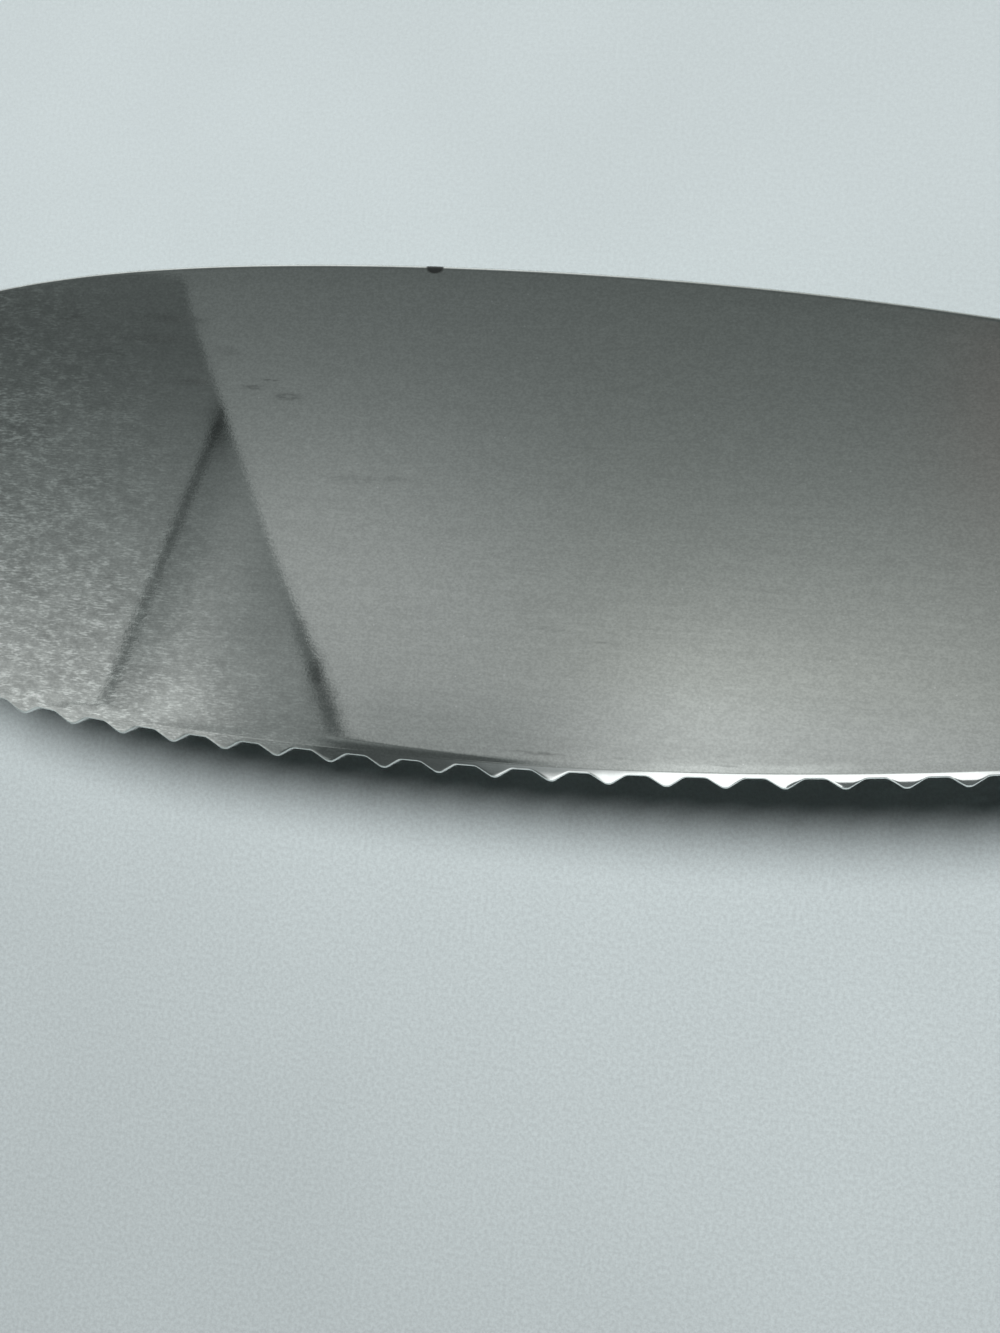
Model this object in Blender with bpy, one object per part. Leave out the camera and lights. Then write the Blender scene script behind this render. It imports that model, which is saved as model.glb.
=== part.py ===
"""Sandwich spreader: a leaf-shaped blade with one scalloped edge, on a riveted wooden handle.

The blade lies flat, its tip towards -X, its spine towards +Y and its scalloped edge towards -Y.
Blade and tang are one stamping. Two wooden scales clamp the tang, held by three rivets, each a post
pressed into a socket. Sizes are in metres. The object rests on its lower scale, and its origin is
under the middle of its box.
"""

import math

import bmesh
import bpy
from mathutils import Vector

MM = 0.001

# Blade, with x measured from the front of the handle and y from the centre line
BLADE_LENGTH = 118.0 * MM
BLADE_THICKNESS = 1.0 * MM
TIP_TO_WIDEST = 45.0 * MM
NECK_HALF_WIDTH = 8.0 * MM
EDGE_BREAK = 0.15 * MM

# Spine side: half width, and how far its curve holds its direction at each end of its two arcs
SPINE_HALF_WIDTH = 16.1 * MM
SPINE_TIP_REACH = 10.5 * MM
SPINE_FORE_REACH = 35.0 * MM
SPINE_AFT_REACH = 40.0 * MM
SPINE_NECK_REACH = 11.0 * MM

# Scalloped side, drawn through the points of its teeth
EDGE_HALF_WIDTH = 15.7 * MM
EDGE_TIP_REACH = 11.5 * MM
EDGE_FORE_REACH = 35.5 * MM
EDGE_AFT_REACH = 37.0 * MM
EDGE_NECK_REACH = 15.0 * MM

# Scallops cut square through the edge, and the convex bevel ground on the upper face behind them
SCALLOP_PITCH = 3.48 * MM
SCALLOP_DEPTH = 0.57 * MM
PLAIN_AT_TIP = 9.55 * MM
PLAIN_AT_HEEL = 14.0 * MM
BEVEL_WIDTH = 0.8 * MM
BEVEL_INNER_ANGLE = 30.0  # degrees of tilt where the bevel leaves the flat
BEVEL_OUTER_ANGLE = 47.0  # and at the points of the teeth
BEVEL_RUNOUT = 6.0 * MM
TOOTH_BREAK = 0.05 * MM
# One scallop as shares of its pitch and depth: blunt tooth, straight flank, flat floor, and back
SCALLOP_PROFILE = ((0.03, 0.0), (0.31, 0.9), (0.42, 1.0), (0.58, 1.0), (0.69, 0.9), (0.97, 0.0))

# Handle outline, shared by the tang and both scales
HANDLE_LENGTH = 117.0 * MM
SWELL_FROM_FRONT = 46.0 * MM
SWELL_HALF_WIDTH = 11.4 * MM
WAIST_FROM_BUTT = 40.0 * MM
WAIST_HALF_WIDTH = 10.4 * MM
CREST_FROM_BUTT = 13.5 * MM
CREST_HALF_WIDTH = 12.2 * MM
HANDLE_FLOW = 0.42  # share of each stretch over which the outline keeps its direction
BUTT_FLOW = 0.58  # the same for the turn round the butt

# Scales
SCALE_THICKNESS = 7.6 * MM
SCALE_ROUND = 4.5 * MM
FRONT_CORNER = 5.6 * MM
NOSE_SETBACK = 6.0 * MM  # how far the nose leans back at its top, beyond its rounding
NOSE_LENGTH = 24.0 * MM  # where the lean has died out

# Rivets
RIVET_FROM_FRONT = 17.0 * MM
RIVET_FROM_BUTT = 19.0 * MM
HEAD_DIAMETER = 8.0 * MM
HEAD_THICKNESS = 2.0 * MM
HEAD_CHAMFER = 0.25 * MM
HEAD_RECESS = 0.05 * MM
SOCKET_DIAMETER = 6.0 * MM
POST_DIAMETER = 3.4 * MM
SOCKET_FLOOR = 2.0 * MM

# Clearance between pieces that touch on the finished object
FIT = 0.3 * MM

# Facets
LEAF_STEPS = 200
SPINE_STEPS = 18
BEVEL_STEPS = 2
PLAIN_STEPS = 6
HANDLE_STEPS = 6
BUTT_STEPS = 9
CORNER_STEPS = 5
ROUND_STEPS = 5
TURNED_STEPS = 24

# Levels from the face that the handle rests on
TANG_BOTTOM = SCALE_THICKNESS + FIT
TANG_TOP = TANG_BOTTOM + BLADE_THICKNESS
UPPER_INNER = TANG_TOP + FIT
HANDLE_TOP = UPPER_INNER + SCALE_THICKNESS

# Radii and levels of the rivets
HEAD_RADIUS = HEAD_DIAMETER / 2
SOCKET_RADIUS = SOCKET_DIAMETER / 2
POST_RADIUS = POST_DIAMETER / 2
SOCKET_FACE = HEAD_RECESS
SOCKET_SEAT = SOCKET_FACE + HEAD_THICKNESS
POST_FACE = HANDLE_TOP - HEAD_RECESS
POST_SEAT = POST_FACE - HEAD_THICKNESS
SOCKET_END = POST_SEAT - FIT
BORE_FLOOR = SOCKET_SEAT + SOCKET_FLOOR
BORE_RADIUS = POST_RADIUS + FIT

STEEL = ((0.47, 0.49, 0.48), 0.32, 1.0)
ROSEWOOD = ((0.16, 0.06, 0.03), 0.5, 0.0)
BRASS = ((0.72, 0.53, 0.25), 0.3, 1.0)


def clear_scene():
    for old in list(bpy.data.objects):
        bpy.data.objects.remove(old, do_unlink=True)


def make_material(name, finish):
    color, roughness, metallic = finish
    material = bpy.data.materials.new(name)
    material.use_nodes = True
    shader = material.node_tree.nodes["Principled BSDF"]
    shader.inputs["Base Color"].default_value = (*color, 1.0)
    shader.inputs["Roughness"].default_value = roughness
    shader.inputs["Metallic"].default_value = metallic
    return material


def bezier(start, start_pull, end_pull, end, steps):
    """Points along a cubic curve, both ends included."""
    points = []
    for i in range(steps + 1):
        t = i / steps
        u = 1.0 - t
        weights = (u**3, 3 * u * u * t, 3 * u * t * t, t**3)
        corners = (start, start_pull, end_pull, end)
        points.append(sum((w * Vector(c) for w, c in zip(weights, corners)), Vector((0.0, 0.0))))
    return points


def leaf_side(half_width, tip_reach, fore_reach, aft_reach, neck_reach, steps):
    """One side of the leaf with y positive: from the tip to the widest place, then to the neck."""
    tip = -BLADE_LENGTH
    widest = TIP_TO_WIDEST - BLADE_LENGTH
    fore = bezier(
        (tip, 0.0), (tip, tip_reach), (widest - fore_reach, half_width), (widest, half_width), steps
    )
    aft = bezier(
        (widest, half_width), (widest + aft_reach, half_width),
        (-neck_reach, NECK_HALF_WIDTH), (0.0, NECK_HALF_WIDTH), steps,
    )
    return fore + aft[1:]


def handle_side():
    """One side of the handle with y positive: over swell, waist and crest to the end of the butt."""
    stations = [
        (0.0, NECK_HALF_WIDTH),
        (SWELL_FROM_FRONT, SWELL_HALF_WIDTH),
        (HANDLE_LENGTH - WAIST_FROM_BUTT, WAIST_HALF_WIDTH),
        (HANDLE_LENGTH - CREST_FROM_BUTT, CREST_HALF_WIDTH),
    ]
    points = [Vector(stations[0])]
    for (x0, y0), (x1, y1) in zip(stations, stations[1:]):
        reach = HANDLE_FLOW * (x1 - x0)
        points += bezier((x0, y0), (x0 + reach, y0), (x1 - reach, y1), (x1, y1), HANDLE_STEPS)[1:]
    crest = stations[-1]
    points += bezier(
        crest,
        (crest[0] + BUTT_FLOW * CREST_FROM_BUTT, CREST_HALF_WIDTH),
        (HANDLE_LENGTH, BUTT_FLOW * CREST_HALF_WIDTH),
        (HANDLE_LENGTH, 0.0),
        BUTT_STEPS,
    )[1:]
    return points


def mirrored(points):
    return [Vector((p.x, -p.y)) for p in points]


def lengths_along(points):
    """Distance of each point from the first, along the line through them."""
    total = 0.0
    lengths = [total]
    for a, b in zip(points, points[1:]):
        total += (b - a).length
        lengths.append(total)
    return lengths


def point_along(points, lengths, distance):
    """The point at a distance along the line."""
    for i in range(1, len(points)):
        if lengths[i] >= distance:
            share = (distance - lengths[i - 1]) / (lengths[i] - lengths[i - 1])
            return points[i - 1].lerp(points[i], share)
    return points[-1]


def inward_normals(outline):
    """Unit normals that point into a closed outline that runs counter-clockwise."""
    normals = []
    for i in range(len(outline)):
        along = outline[(i + 1) % len(outline)] - outline[i - 1]
        normals.append(Vector((-along.y, along.x)).normalized())
    return normals


def ring(outline, normals, insets, heights):
    """The outline with each point moved inwards by its own inset and lifted to its own height."""
    moved = [p + n * inset for p, n, inset in zip(outline, normals, insets)]
    return [Vector((p.x, p.y, z)) for p, z in zip(moved, heights)]


def add_object(name, mesh, material, root, location=(0.0, 0.0, 0.0)):
    mesh.materials.append(material)
    piece = bpy.data.objects.new(name, mesh)
    bpy.context.scene.collection.objects.link(piece)
    piece.parent = root
    piece.location = location
    return piece


def finish_mesh(name, shape, sharp_angle):
    """Turn a bmesh into a mesh with its faces out, smooth but for its sharp edges."""
    bmesh.ops.recalc_face_normals(shape, faces=shape.faces)
    mesh = bpy.data.meshes.new(name)
    shape.to_mesh(mesh)
    shape.free()
    mesh.shade_smooth()
    mesh.set_sharp_from_angle(angle=math.radians(sharp_angle))
    return mesh


def lofted(name, rings):
    """A closed solid through rings of equally many points, capped at the first and the last."""
    shape = bmesh.new()
    loops = [[shape.verts.new(p) for p in points] for points in rings]
    for low, high in zip(loops, loops[1:]):
        for i in range(len(low)):
            shape.faces.new((low[i - 1], low[i], high[i], high[i - 1]))
    shape.faces.new(loops[0][::-1])
    shape.faces.new(loops[-1])
    return finish_mesh(name, shape, 25.0)


def turned(name, profile):
    """A solid of revolution about Z from (radius, z) pairs that start and end on the axis."""
    shape = bmesh.new()
    verts = [shape.verts.new((radius, 0.0, z)) for radius, z in profile]
    edges = [shape.edges.new(pair) for pair in zip(verts, verts[1:])]
    bmesh.ops.spin(
        shape, geom=verts + edges, cent=(0, 0, 0), axis=(0, 0, 1),
        angle=2 * math.pi, steps=TURNED_STEPS, use_merge=True,
    )
    bmesh.ops.remove_doubles(shape, verts=shape.verts, dist=0.001 * MM)
    return finish_mesh(name, shape, 35.0)


def smooth_share(value):
    """0 below 0, 1 above 1, and a soft step between."""
    x = min(max(value, 0.0), 1.0)
    return x * x * (3.0 - 2.0 * x)


def scalloped_edge():
    """Stations from the tip to the neck: point on the line of the teeth, notch depth, share of the bevel."""
    side = mirrored(
        leaf_side(
            EDGE_HALF_WIDTH, EDGE_TIP_REACH, EDGE_FORE_REACH, EDGE_AFT_REACH, EDGE_NECK_REACH, LEAF_STEPS
        )
    )
    lengths = lengths_along(side)
    scallops = int((lengths[-1] - PLAIN_AT_TIP - PLAIN_AT_HEEL) / SCALLOP_PITCH)
    first = PLAIN_AT_TIP
    last = first + scallops * SCALLOP_PITCH
    places = [(first * i / PLAIN_STEPS, 0.0) for i in range(PLAIN_STEPS)]
    for i in range(scallops):
        places += [
            (first + (i + share) * SCALLOP_PITCH, depth * SCALLOP_DEPTH) for share, depth in SCALLOP_PROFILE
        ]
    heel = lengths[-1] - last
    places += [(last + heel * i / PLAIN_STEPS, 0.0) for i in range(PLAIN_STEPS)]
    stations = []
    for distance, notch in places:
        outside = max(first - distance, distance - last, 0.0)
        bevel = smooth_share(1.0 - outside / BEVEL_RUNOUT)
        stations.append((point_along(side, lengths, distance), notch, bevel))
    return stations


def bevel_drop(distance):
    """How far the bevel lies below the flat at a distance out from its inner line."""
    inner = math.tan(math.radians(BEVEL_INNER_ANGLE))
    outer = math.tan(math.radians(BEVEL_OUTER_ANGLE))
    return inner * distance + (outer - inner) * distance**2 / (2 * BEVEL_WIDTH)


def blade_mesh():
    """Leaf and full tang in one sheet: rings from the lower face, out to the edge and over the bevel."""
    edge = scalloped_edge()
    handle = handle_side()
    spine = leaf_side(
        SPINE_HALF_WIDTH, SPINE_TIP_REACH, SPINE_FORE_REACH, SPINE_AFT_REACH, SPINE_NECK_REACH, SPINE_STEPS
    )
    plain = mirrored(handle) + handle[-2::-1] + spine[-2:0:-1]
    outline = [point for point, _, _ in edge] + plain
    notches = [notch for _, notch, _ in edge] + [0.0] * len(plain)
    bevels = [bevel for _, _, bevel in edge] + [0.0] * len(plain)
    normals = inward_normals(outline)

    breaks = [EDGE_BREAK + (TOOTH_BREAK - EDGE_BREAK) * bevel for bevel in bevels]
    widths = [EDGE_BREAK + (BEVEL_WIDTH - EDGE_BREAK) * bevel for bevel in bevels]
    full_drop = bevel_drop(BEVEL_WIDTH)
    drops = [EDGE_BREAK + (full_drop - EDGE_BREAK) * bevel for bevel in bevels]
    face = [notch + lost for notch, lost in zip(notches, breaks)]
    rings = [
        ring(outline, normals, face, [TANG_BOTTOM] * len(outline)),
        ring(outline, normals, notches, [TANG_BOTTOM + lost for lost in breaks]),
    ]
    for i in range(BEVEL_STEPS + 1):
        left = 1.0 - i / BEVEL_STEPS
        to_flat = [(width - notch) * left for width, notch in zip(widths, notches)]
        insets = [width - rest for width, rest in zip(widths, to_flat)]
        shares = [bevel_drop(BEVEL_WIDTH * rest / width) / full_drop for rest, width in zip(to_flat, widths)]
        heights = [TANG_TOP - drop * share for drop, share in zip(drops, shares)]
        rings.append(ring(outline, normals, insets, heights))
    return lofted("blade", rings)


def scale_outline():
    """The handle's outline with its two front corners rounded, counter-clockwise."""
    side = handle_side()
    xs = [p.x for p in side]
    rounded = []
    for i in range(CORNER_STEPS + 1):
        turn = math.pi / 2 * i / CORNER_STEPS
        x = FRONT_CORNER * (1.0 - math.cos(turn))
        after = next(j for j in range(1, len(xs)) if xs[j] >= x)
        share = (x - xs[after - 1]) / (xs[after] - xs[after - 1])
        width = side[after - 1].lerp(side[after], share).y
        rounded.append(Vector((x, width - FRONT_CORNER * (1.0 - math.sin(turn)))))
    half = rounded + [p for p in side if p.x > FRONT_CORNER]
    return mirrored(half) + half[-2::-1]


def lean_back(points, setback):
    """Move the nose of a scale's ring towards the butt, less and less along its length."""
    for p in points:
        p.x += setback * max(0.0, 1.0 - p.x / NOSE_LENGTH) ** 2


def scale_mesh(name, inner, outer):
    """A handle slab between a flat inner and a flat outer face, with a rounded rim and a sloping nose."""
    outline = scale_outline()
    normals = inward_normals(outline)
    count = len(outline)
    up = math.copysign(1.0, outer - inner)
    rings = [ring(outline, normals, [0.0] * count, [inner] * count)]
    for i in range(ROUND_STEPS + 1):
        turn = math.pi / 2 * i / ROUND_STEPS
        climb = math.sin(turn)
        inset = SCALE_ROUND * (1.0 - math.cos(turn))
        height = outer - up * SCALE_ROUND * (1.0 - climb)
        level = ring(outline, normals, [inset] * count, [height] * count)
        lean_back(level, NOSE_SETBACK * climb)
        rings.append(level)
    return lofted(name, rings)


def socket_mesh(name):
    """Hollow half of a rivet, head down, reaching through both scales."""
    profile = [
        (0.0, SOCKET_FACE),
        (HEAD_RADIUS - HEAD_CHAMFER, SOCKET_FACE),
        (HEAD_RADIUS, SOCKET_FACE + HEAD_CHAMFER),
        (HEAD_RADIUS, SOCKET_SEAT),
        (SOCKET_RADIUS, SOCKET_SEAT),
        (SOCKET_RADIUS, SOCKET_END),
        (BORE_RADIUS, SOCKET_END),
        (BORE_RADIUS, BORE_FLOOR),
        (0.0, BORE_FLOOR),
    ]
    return turned(name, profile)


def post_mesh(name):
    """Solid half of a rivet, head up, its post standing in the socket."""
    profile = [
        (0.0, BORE_FLOOR + FIT),
        (POST_RADIUS, BORE_FLOOR + FIT),
        (POST_RADIUS, POST_SEAT),
        (HEAD_RADIUS, POST_SEAT),
        (HEAD_RADIUS, POST_FACE - HEAD_CHAMFER),
        (HEAD_RADIUS - HEAD_CHAMFER, POST_FACE),
        (0.0, POST_FACE),
    ]
    return turned(name, profile)


def rivet_hole_mesh(name):
    """What a rivet's hole takes out of scales and tang: a shank hole with a counterbore at each end."""
    hole = SOCKET_RADIUS + FIT
    counterbore = HEAD_RADIUS + FIT
    profile = [
        (0.0, -SCALE_THICKNESS),
        (counterbore, -SCALE_THICKNESS),
        (counterbore, SOCKET_SEAT + FIT),
        (hole, SOCKET_SEAT + FIT),
        (hole, POST_SEAT - FIT),
        (counterbore, POST_SEAT - FIT),
        (counterbore, HANDLE_TOP + SCALE_THICKNESS),
        (0.0, HANDLE_TOP + SCALE_THICKNESS),
    ]
    return turned(name, profile)


def cut(piece, cutter):
    hole = piece.modifiers.new(cutter.name, "BOOLEAN")
    hole.operation = "DIFFERENCE"
    hole.solver = "EXACT"
    hole.object = cutter


def rivet_places():
    first = RIVET_FROM_FRONT
    last = HANDLE_LENGTH - RIVET_FROM_BUTT
    return {"front": first, "middle": (first + last) / 2, "rear": last}


def build():
    clear_scene()
    steel = make_material("satin_stainless", STEEL)
    wood = make_material("rosewood", ROSEWOOD)
    brass = make_material("brass", BRASS)

    root = bpy.data.objects.new("spreader", None)
    bpy.context.scene.collection.objects.link(root)
    root.location = (
        (BLADE_LENGTH - HANDLE_LENGTH) / 2,
        (EDGE_HALF_WIDTH - SPINE_HALF_WIDTH) / 2,
        0.0,
    )

    blade = add_object("blade", blade_mesh(), steel, root)
    lower = add_object("lower_scale", scale_mesh("lower_scale", TANG_BOTTOM - FIT, 0.0), wood, root)
    upper = add_object("upper_scale", scale_mesh("upper_scale", UPPER_INNER, HANDLE_TOP), wood, root)

    for place, x in rivet_places().items():
        where = (x, 0.0, 0.0)
        add_object(f"{place}_rivet_socket", socket_mesh(f"{place}_rivet_socket"), brass, root, where)
        add_object(f"{place}_rivet_post", post_mesh(f"{place}_rivet_post"), brass, root, where)
        cutter = add_object(f"{place}_rivet_hole", rivet_hole_mesh(f"{place}_rivet_hole"), brass, root, where)
        cutter.hide_render = True
        cutter.display_type = "WIRE"
        for piece in (blade, lower, upper):
            cut(piece, cutter)


build()
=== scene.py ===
"""Sandwich spreader: a satin steel blade with one scalloped edge, rosewood scales and brass rivets.

The file is laid out as an add-on: settings, one operator for each group of pieces and one for the
stage, and a panel that lists them. Run as a script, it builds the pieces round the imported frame.
The blade's tip is towards -X, its spine towards +Y and its scallops towards -Y. Lengths are in metres.
"""

import math
from collections import namedtuple
from functools import partial, reduce

import bmesh
import bpy
from bpy.props import FloatProperty, FloatVectorProperty, PointerProperty
from bpy.types import Operator, Panel, PropertyGroup
from mathutils import Matrix, Vector


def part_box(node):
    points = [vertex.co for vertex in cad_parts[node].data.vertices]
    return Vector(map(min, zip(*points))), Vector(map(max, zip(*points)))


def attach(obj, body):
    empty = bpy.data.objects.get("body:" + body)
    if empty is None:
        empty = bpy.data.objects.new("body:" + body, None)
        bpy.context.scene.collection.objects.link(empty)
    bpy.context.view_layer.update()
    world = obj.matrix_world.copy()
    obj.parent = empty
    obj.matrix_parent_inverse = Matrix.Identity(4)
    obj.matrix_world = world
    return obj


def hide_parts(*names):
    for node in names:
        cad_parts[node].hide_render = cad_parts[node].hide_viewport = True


bl_info = {
    "name": "Sandwich spreader",
    "version": (1, 0, 0),
    "blender": (4, 5, 0),
    "location": "View3D > Sidebar > Spreader",
    "description": "Blade, handle scales and rivets of a sandwich spreader, with their stage",
    "category": "Object",
}

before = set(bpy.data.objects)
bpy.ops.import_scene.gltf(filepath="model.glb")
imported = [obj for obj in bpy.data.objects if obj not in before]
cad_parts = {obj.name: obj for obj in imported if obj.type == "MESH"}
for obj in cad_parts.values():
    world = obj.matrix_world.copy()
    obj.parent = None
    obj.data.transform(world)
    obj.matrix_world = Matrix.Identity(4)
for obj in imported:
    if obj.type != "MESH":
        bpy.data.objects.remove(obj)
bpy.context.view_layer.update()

MM = 0.001

# Where the frame has its pieces
BLADE_LOW, BLADE_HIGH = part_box("blade")
UPPER_LOW, UPPER_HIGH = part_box("upper_scale")
LOWER_LOW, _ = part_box("lower_scale")
RIVETS = ("front", "middle", "rear")
POSTS = {place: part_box(f"{place}_rivet_post") for place in RIVETS}
SOCKETS = {place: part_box(f"{place}_rivet_socket") for place in RIVETS}
RIVET_AXES = {place: (low + high) / 2 for place, (low, high) in POSTS.items()}
HANDLE_FRONT = Vector((UPPER_LOW.x, RIVET_AXES["middle"].y))
HEAD_RADIUS = (POSTS["middle"][1].x - POSTS["middle"][0].x) / 2
POST_FACE = POSTS["middle"][1].z
POST_END = POSTS["middle"][0].z
SOCKET_FACE = SOCKETS["middle"][0].z
SOCKET_END = SOCKETS["middle"][1].z


def length(name, description, millimetres):
    return FloatProperty(
        name=name, description=description, default=millimetres * MM, precision=5, unit="LENGTH"
    )


def lengths(name, description, millimetres):
    return FloatVectorProperty(
        name=name, description=description, default=[value * MM for value in millimetres],
        size=len(millimetres), precision=5, unit="LENGTH",
    )


def angle(name, description, degrees):
    return FloatProperty(name=name, description=description, default=math.radians(degrees), subtype="ANGLE")


def power(name, description, watts):
    return FloatProperty(name=name, description=description, default=watts, min=0, unit="POWER")


def span(name, description, metres):
    return FloatProperty(name=name, description=description, default=metres, min=0, unit="LENGTH")


def factor(name, description, default):
    return FloatProperty(name=name, description=description, default=default, min=0, max=1, subtype="FACTOR")


def tint(name, description, color):
    return FloatVectorProperty(
        name=name, description=description, default=color, size=3, min=0, max=1, subtype="COLOR"
    )


class BladeSettings(PropertyGroup):
    """Curves, edge and finish of the blade."""

    tip_to_widest: length("Tip to widest", "From the tip to where the leaf is widest", 45.0)
    neck_half_width: length("Neck half width", "Half the width where the leaf meets the handle", 8.0)
    spine_reaches: lengths(
        "Spine reaches",
        "How far the spine keeps its direction: tip, fore, aft, neck",
        (10.5, 35.0, 40.0, 11.0),
    )
    edge_reaches: lengths(
        "Edge reaches", "The same for the line through the teeth", (11.5, 35.5, 37.0, 15.0)
    )
    scallop_pitch: length("Scallop pitch", "From tooth to tooth along the edge", 3.48)
    scallop_depth: length("Scallop depth", "From the points of the teeth to the floor of a scallop", 0.57)
    plain_at_tip: length("Plain at tip", "Edge without scallops at the tip", 9.55)
    plain_at_heel: length("Plain at heel", "Least edge without scallops at the neck", 14.0)
    bevel_width: length("Bevel width", "Steep bevel behind the points of the teeth", 0.87)
    bevel_inner_angle: angle("Bevel inner angle", "Tilt where the bevel begins", 30.0)
    bevel_outer_angle: angle("Bevel outer angle", "Tilt at the points of the teeth", 45.0)
    bevel_runout: length("Bevel runout", "Length over which the bevel fades at each end", 6.0)
    shoulder_width: length("Shoulder width", "Slightly tilted strip between flat and bevel", 0.66)
    shoulder_roll: length("Shoulder roll", "How much of that strip it takes to reach its tilt", 0.45)
    shoulder_angle: angle("Shoulder angle", "Tilt of that strip", 6.5)
    spine_roll: angle("Spine roll", "Tilt of the flat beside the spine", 0.4)
    tooth_rim: length("Tooth rim", "Rounding of the upper rim of teeth and scallops", 0.08)
    spine_rim: length("Spine rim", "Rounding of the spine's rims", 0.16)
    steel: tint("Steel", "Colour of the satin stainless steel", (0.550, 0.585, 0.560))
    bare: tint("Bare steel", "Colour of the freshly ground bevel", (0.880, 0.920, 0.900))
    stain: tint("Stain", "Colour of tarnish in nicks and streaks", (0.055, 0.060, 0.058))


class HandleSettings(PropertyGroup):
    """Outline, rounding and wood of the two scales."""

    swell: lengths("Swell", "Swell of the palm: from the front, half width", (46.0, 11.4))
    waist: lengths("Waist", "Waist before the butt: from the butt, half width", (40.0, 10.4))
    crest: lengths("Crest", "Crest of the butt: from the butt, half width", (13.5, 12.2))
    flow: factor("Flow", "Share of each stretch over which the outline keeps its direction", 0.42)
    butt_flow: factor("Butt flow", "The same for the turn round the butt", 0.58)
    rim: length("Rim", "Rounding of the outer rim", 4.5)
    front_corner: length("Front corner", "Rounding of the two front corners", 5.6)
    nose_setback: length("Nose setback", "How far the nose leans back at its top", 6.0)
    nose_length: length("Nose length", "Where that lean has died out", 24.0)
    seam: length("Seam", "Hairline between scale and tang", 0.03)
    eased: length("Eased edge", "Rounding of the edges along that seam", 0.1)
    streak_color: tint("Streaks", "Darkest streaks of the rosewood", (0.020, 0.008, 0.006))
    heart_color: tint("Heartwood", "Main colour of the rosewood", (0.120, 0.038, 0.018))
    light_color: tint("Light wood", "Palest bands of the rosewood", (0.260, 0.098, 0.042))


class RivetSettings(PropertyGroup):
    """Turned sizes and brass of the rivets."""

    head_thickness: length("Head thickness", "Thickness of each head", 2.0)
    head_rim: length("Head rim", "Rounding of the head's rim", 0.18)
    socket_radius: length("Socket radius", "Outer radius of the hollow shank", 3.0)
    bore_radius: length("Bore radius", "Radius of the bore in the hollow shank", 2.0)
    bore_floor: length("Bore floor", "Metal under the bore, above the head", 2.0)
    post_radius: length("Post radius", "Radius of the post in the bore", 1.7)
    fit: length("Fit", "Hairline between rivet and wood", 0.03)
    brass: tint("Brass", "Colour of the satin brass", (0.710, 0.520, 0.250))
    tarnish: tint("Tarnish", "Colour of the brass where it has dulled", (0.360, 0.230, 0.090))


class StageSettings(PropertyGroup):
    """Floor, light and camera."""

    floor: tint("Floor", "Colour of the paper", (0.585, 0.650, 0.660))
    backdrop: tint("Backdrop", "What the camera sees beyond the floor", (0.600, 0.660, 0.670))
    key_power: power("Key power", "Power of the soft box beyond the tip", 76.7)
    key_bearing: angle("Key bearing", "Direction of the soft box from the handle's axis", 153.0)
    key_elevation: angle("Key elevation", "Height of the soft box above the floor", 53.0)
    key_size: span("Key size", "Diameter of the soft box", 1.2)
    key_distance: span("Key distance", "From the blade to the soft box", 2.5)
    ambient: factor("Ambient", "Light from all round", 0.016)
    target: lengths("Target", "Point of the blade that the camera looks at", (-67.06, -9.14, 8.9))
    distance: length("Distance", "From that point to the camera", 97.1)
    turn: angle("Turn", "Lean of the camera towards the handle", 11.21)
    pitch: angle("Pitch", "Lean of the camera towards the scallops", 6.0)
    roll: angle("Roll", "Turn of the camera about its own axis", -6.06)


# Curves


def bezier(corners, steps):
    """Points along a cubic curve, both ends included."""
    points = []
    for i in range(steps + 1):
        t = i / steps
        u = 1 - t
        weights = (u**3, 3 * u * u * t, 3 * u * t * t, t**3)
        points.append(sum((w * Vector(c) for w, c in zip(weights, corners)), Vector((0.0, 0.0))))
    return points


def leaf_side(blade, half_width, reaches, steps):
    """One side of the leaf with y positive, from the tip to the neck, seen from the handle's front."""
    tip = BLADE_LOW.x - HANDLE_FRONT.x
    widest = tip + blade.tip_to_widest
    neck = blade.neck_half_width
    at_tip, fore, aft, at_neck = reaches
    head = bezier(((tip, 0), (tip, at_tip), (widest - fore, half_width), (widest, half_width)), steps)
    tail = bezier(((widest, half_width), (widest + aft, half_width), (-at_neck, neck), (0, neck)), steps)
    return head + tail[1:]


def handle_side(handle, neck, steps):
    """One side of the handle with y positive: over swell, waist and crest to the end of the butt."""
    end = BLADE_HIGH.x - HANDLE_FRONT.x
    crest = (end - handle.crest[0], handle.crest[1])
    stations = ((0, neck), tuple(handle.swell), (end - handle.waist[0], handle.waist[1]), crest)
    points = [Vector(stations[0])]
    for (x0, y0), (x1, y1) in zip(stations, stations[1:]):
        reach = handle.flow * (x1 - x0)
        points += bezier(((x0, y0), (x0 + reach, y0), (x1 - reach, y1), (x1, y1)), steps)[1:]
    turn = handle.butt_flow
    round_butt = (
        crest, (crest[0] + turn * handle.crest[0], crest[1]), (end, turn * crest[1]), (end, 0)
    )
    return points + bezier(round_butt, 2 * steps)[1:]


def mirrored(points):
    return [Vector((p.x, -p.y)) for p in points]


def lengths_along(points):
    """Distance of each point from the first, along the line through them."""
    total = 0.0
    found = [total]
    for a, b in zip(points, points[1:]):
        total += (b - a).length
        found.append(total)
    return found


def point_along(points, distances, distance):
    for i in range(1, len(points)):
        if distances[i] >= distance:
            share = (distance - distances[i - 1]) / (distances[i] - distances[i - 1])
            return points[i - 1].lerp(points[i], share)
    return points[-1]


def inward_normals(outline):
    """Unit normals that point into a closed outline that runs counter-clockwise."""
    normals = []
    for i in range(len(outline)):
        along = outline[(i + 1) % len(outline)] - outline[i - 1]
        normals.append(Vector((-along.y, along.x)).normalized())
    return normals


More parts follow.
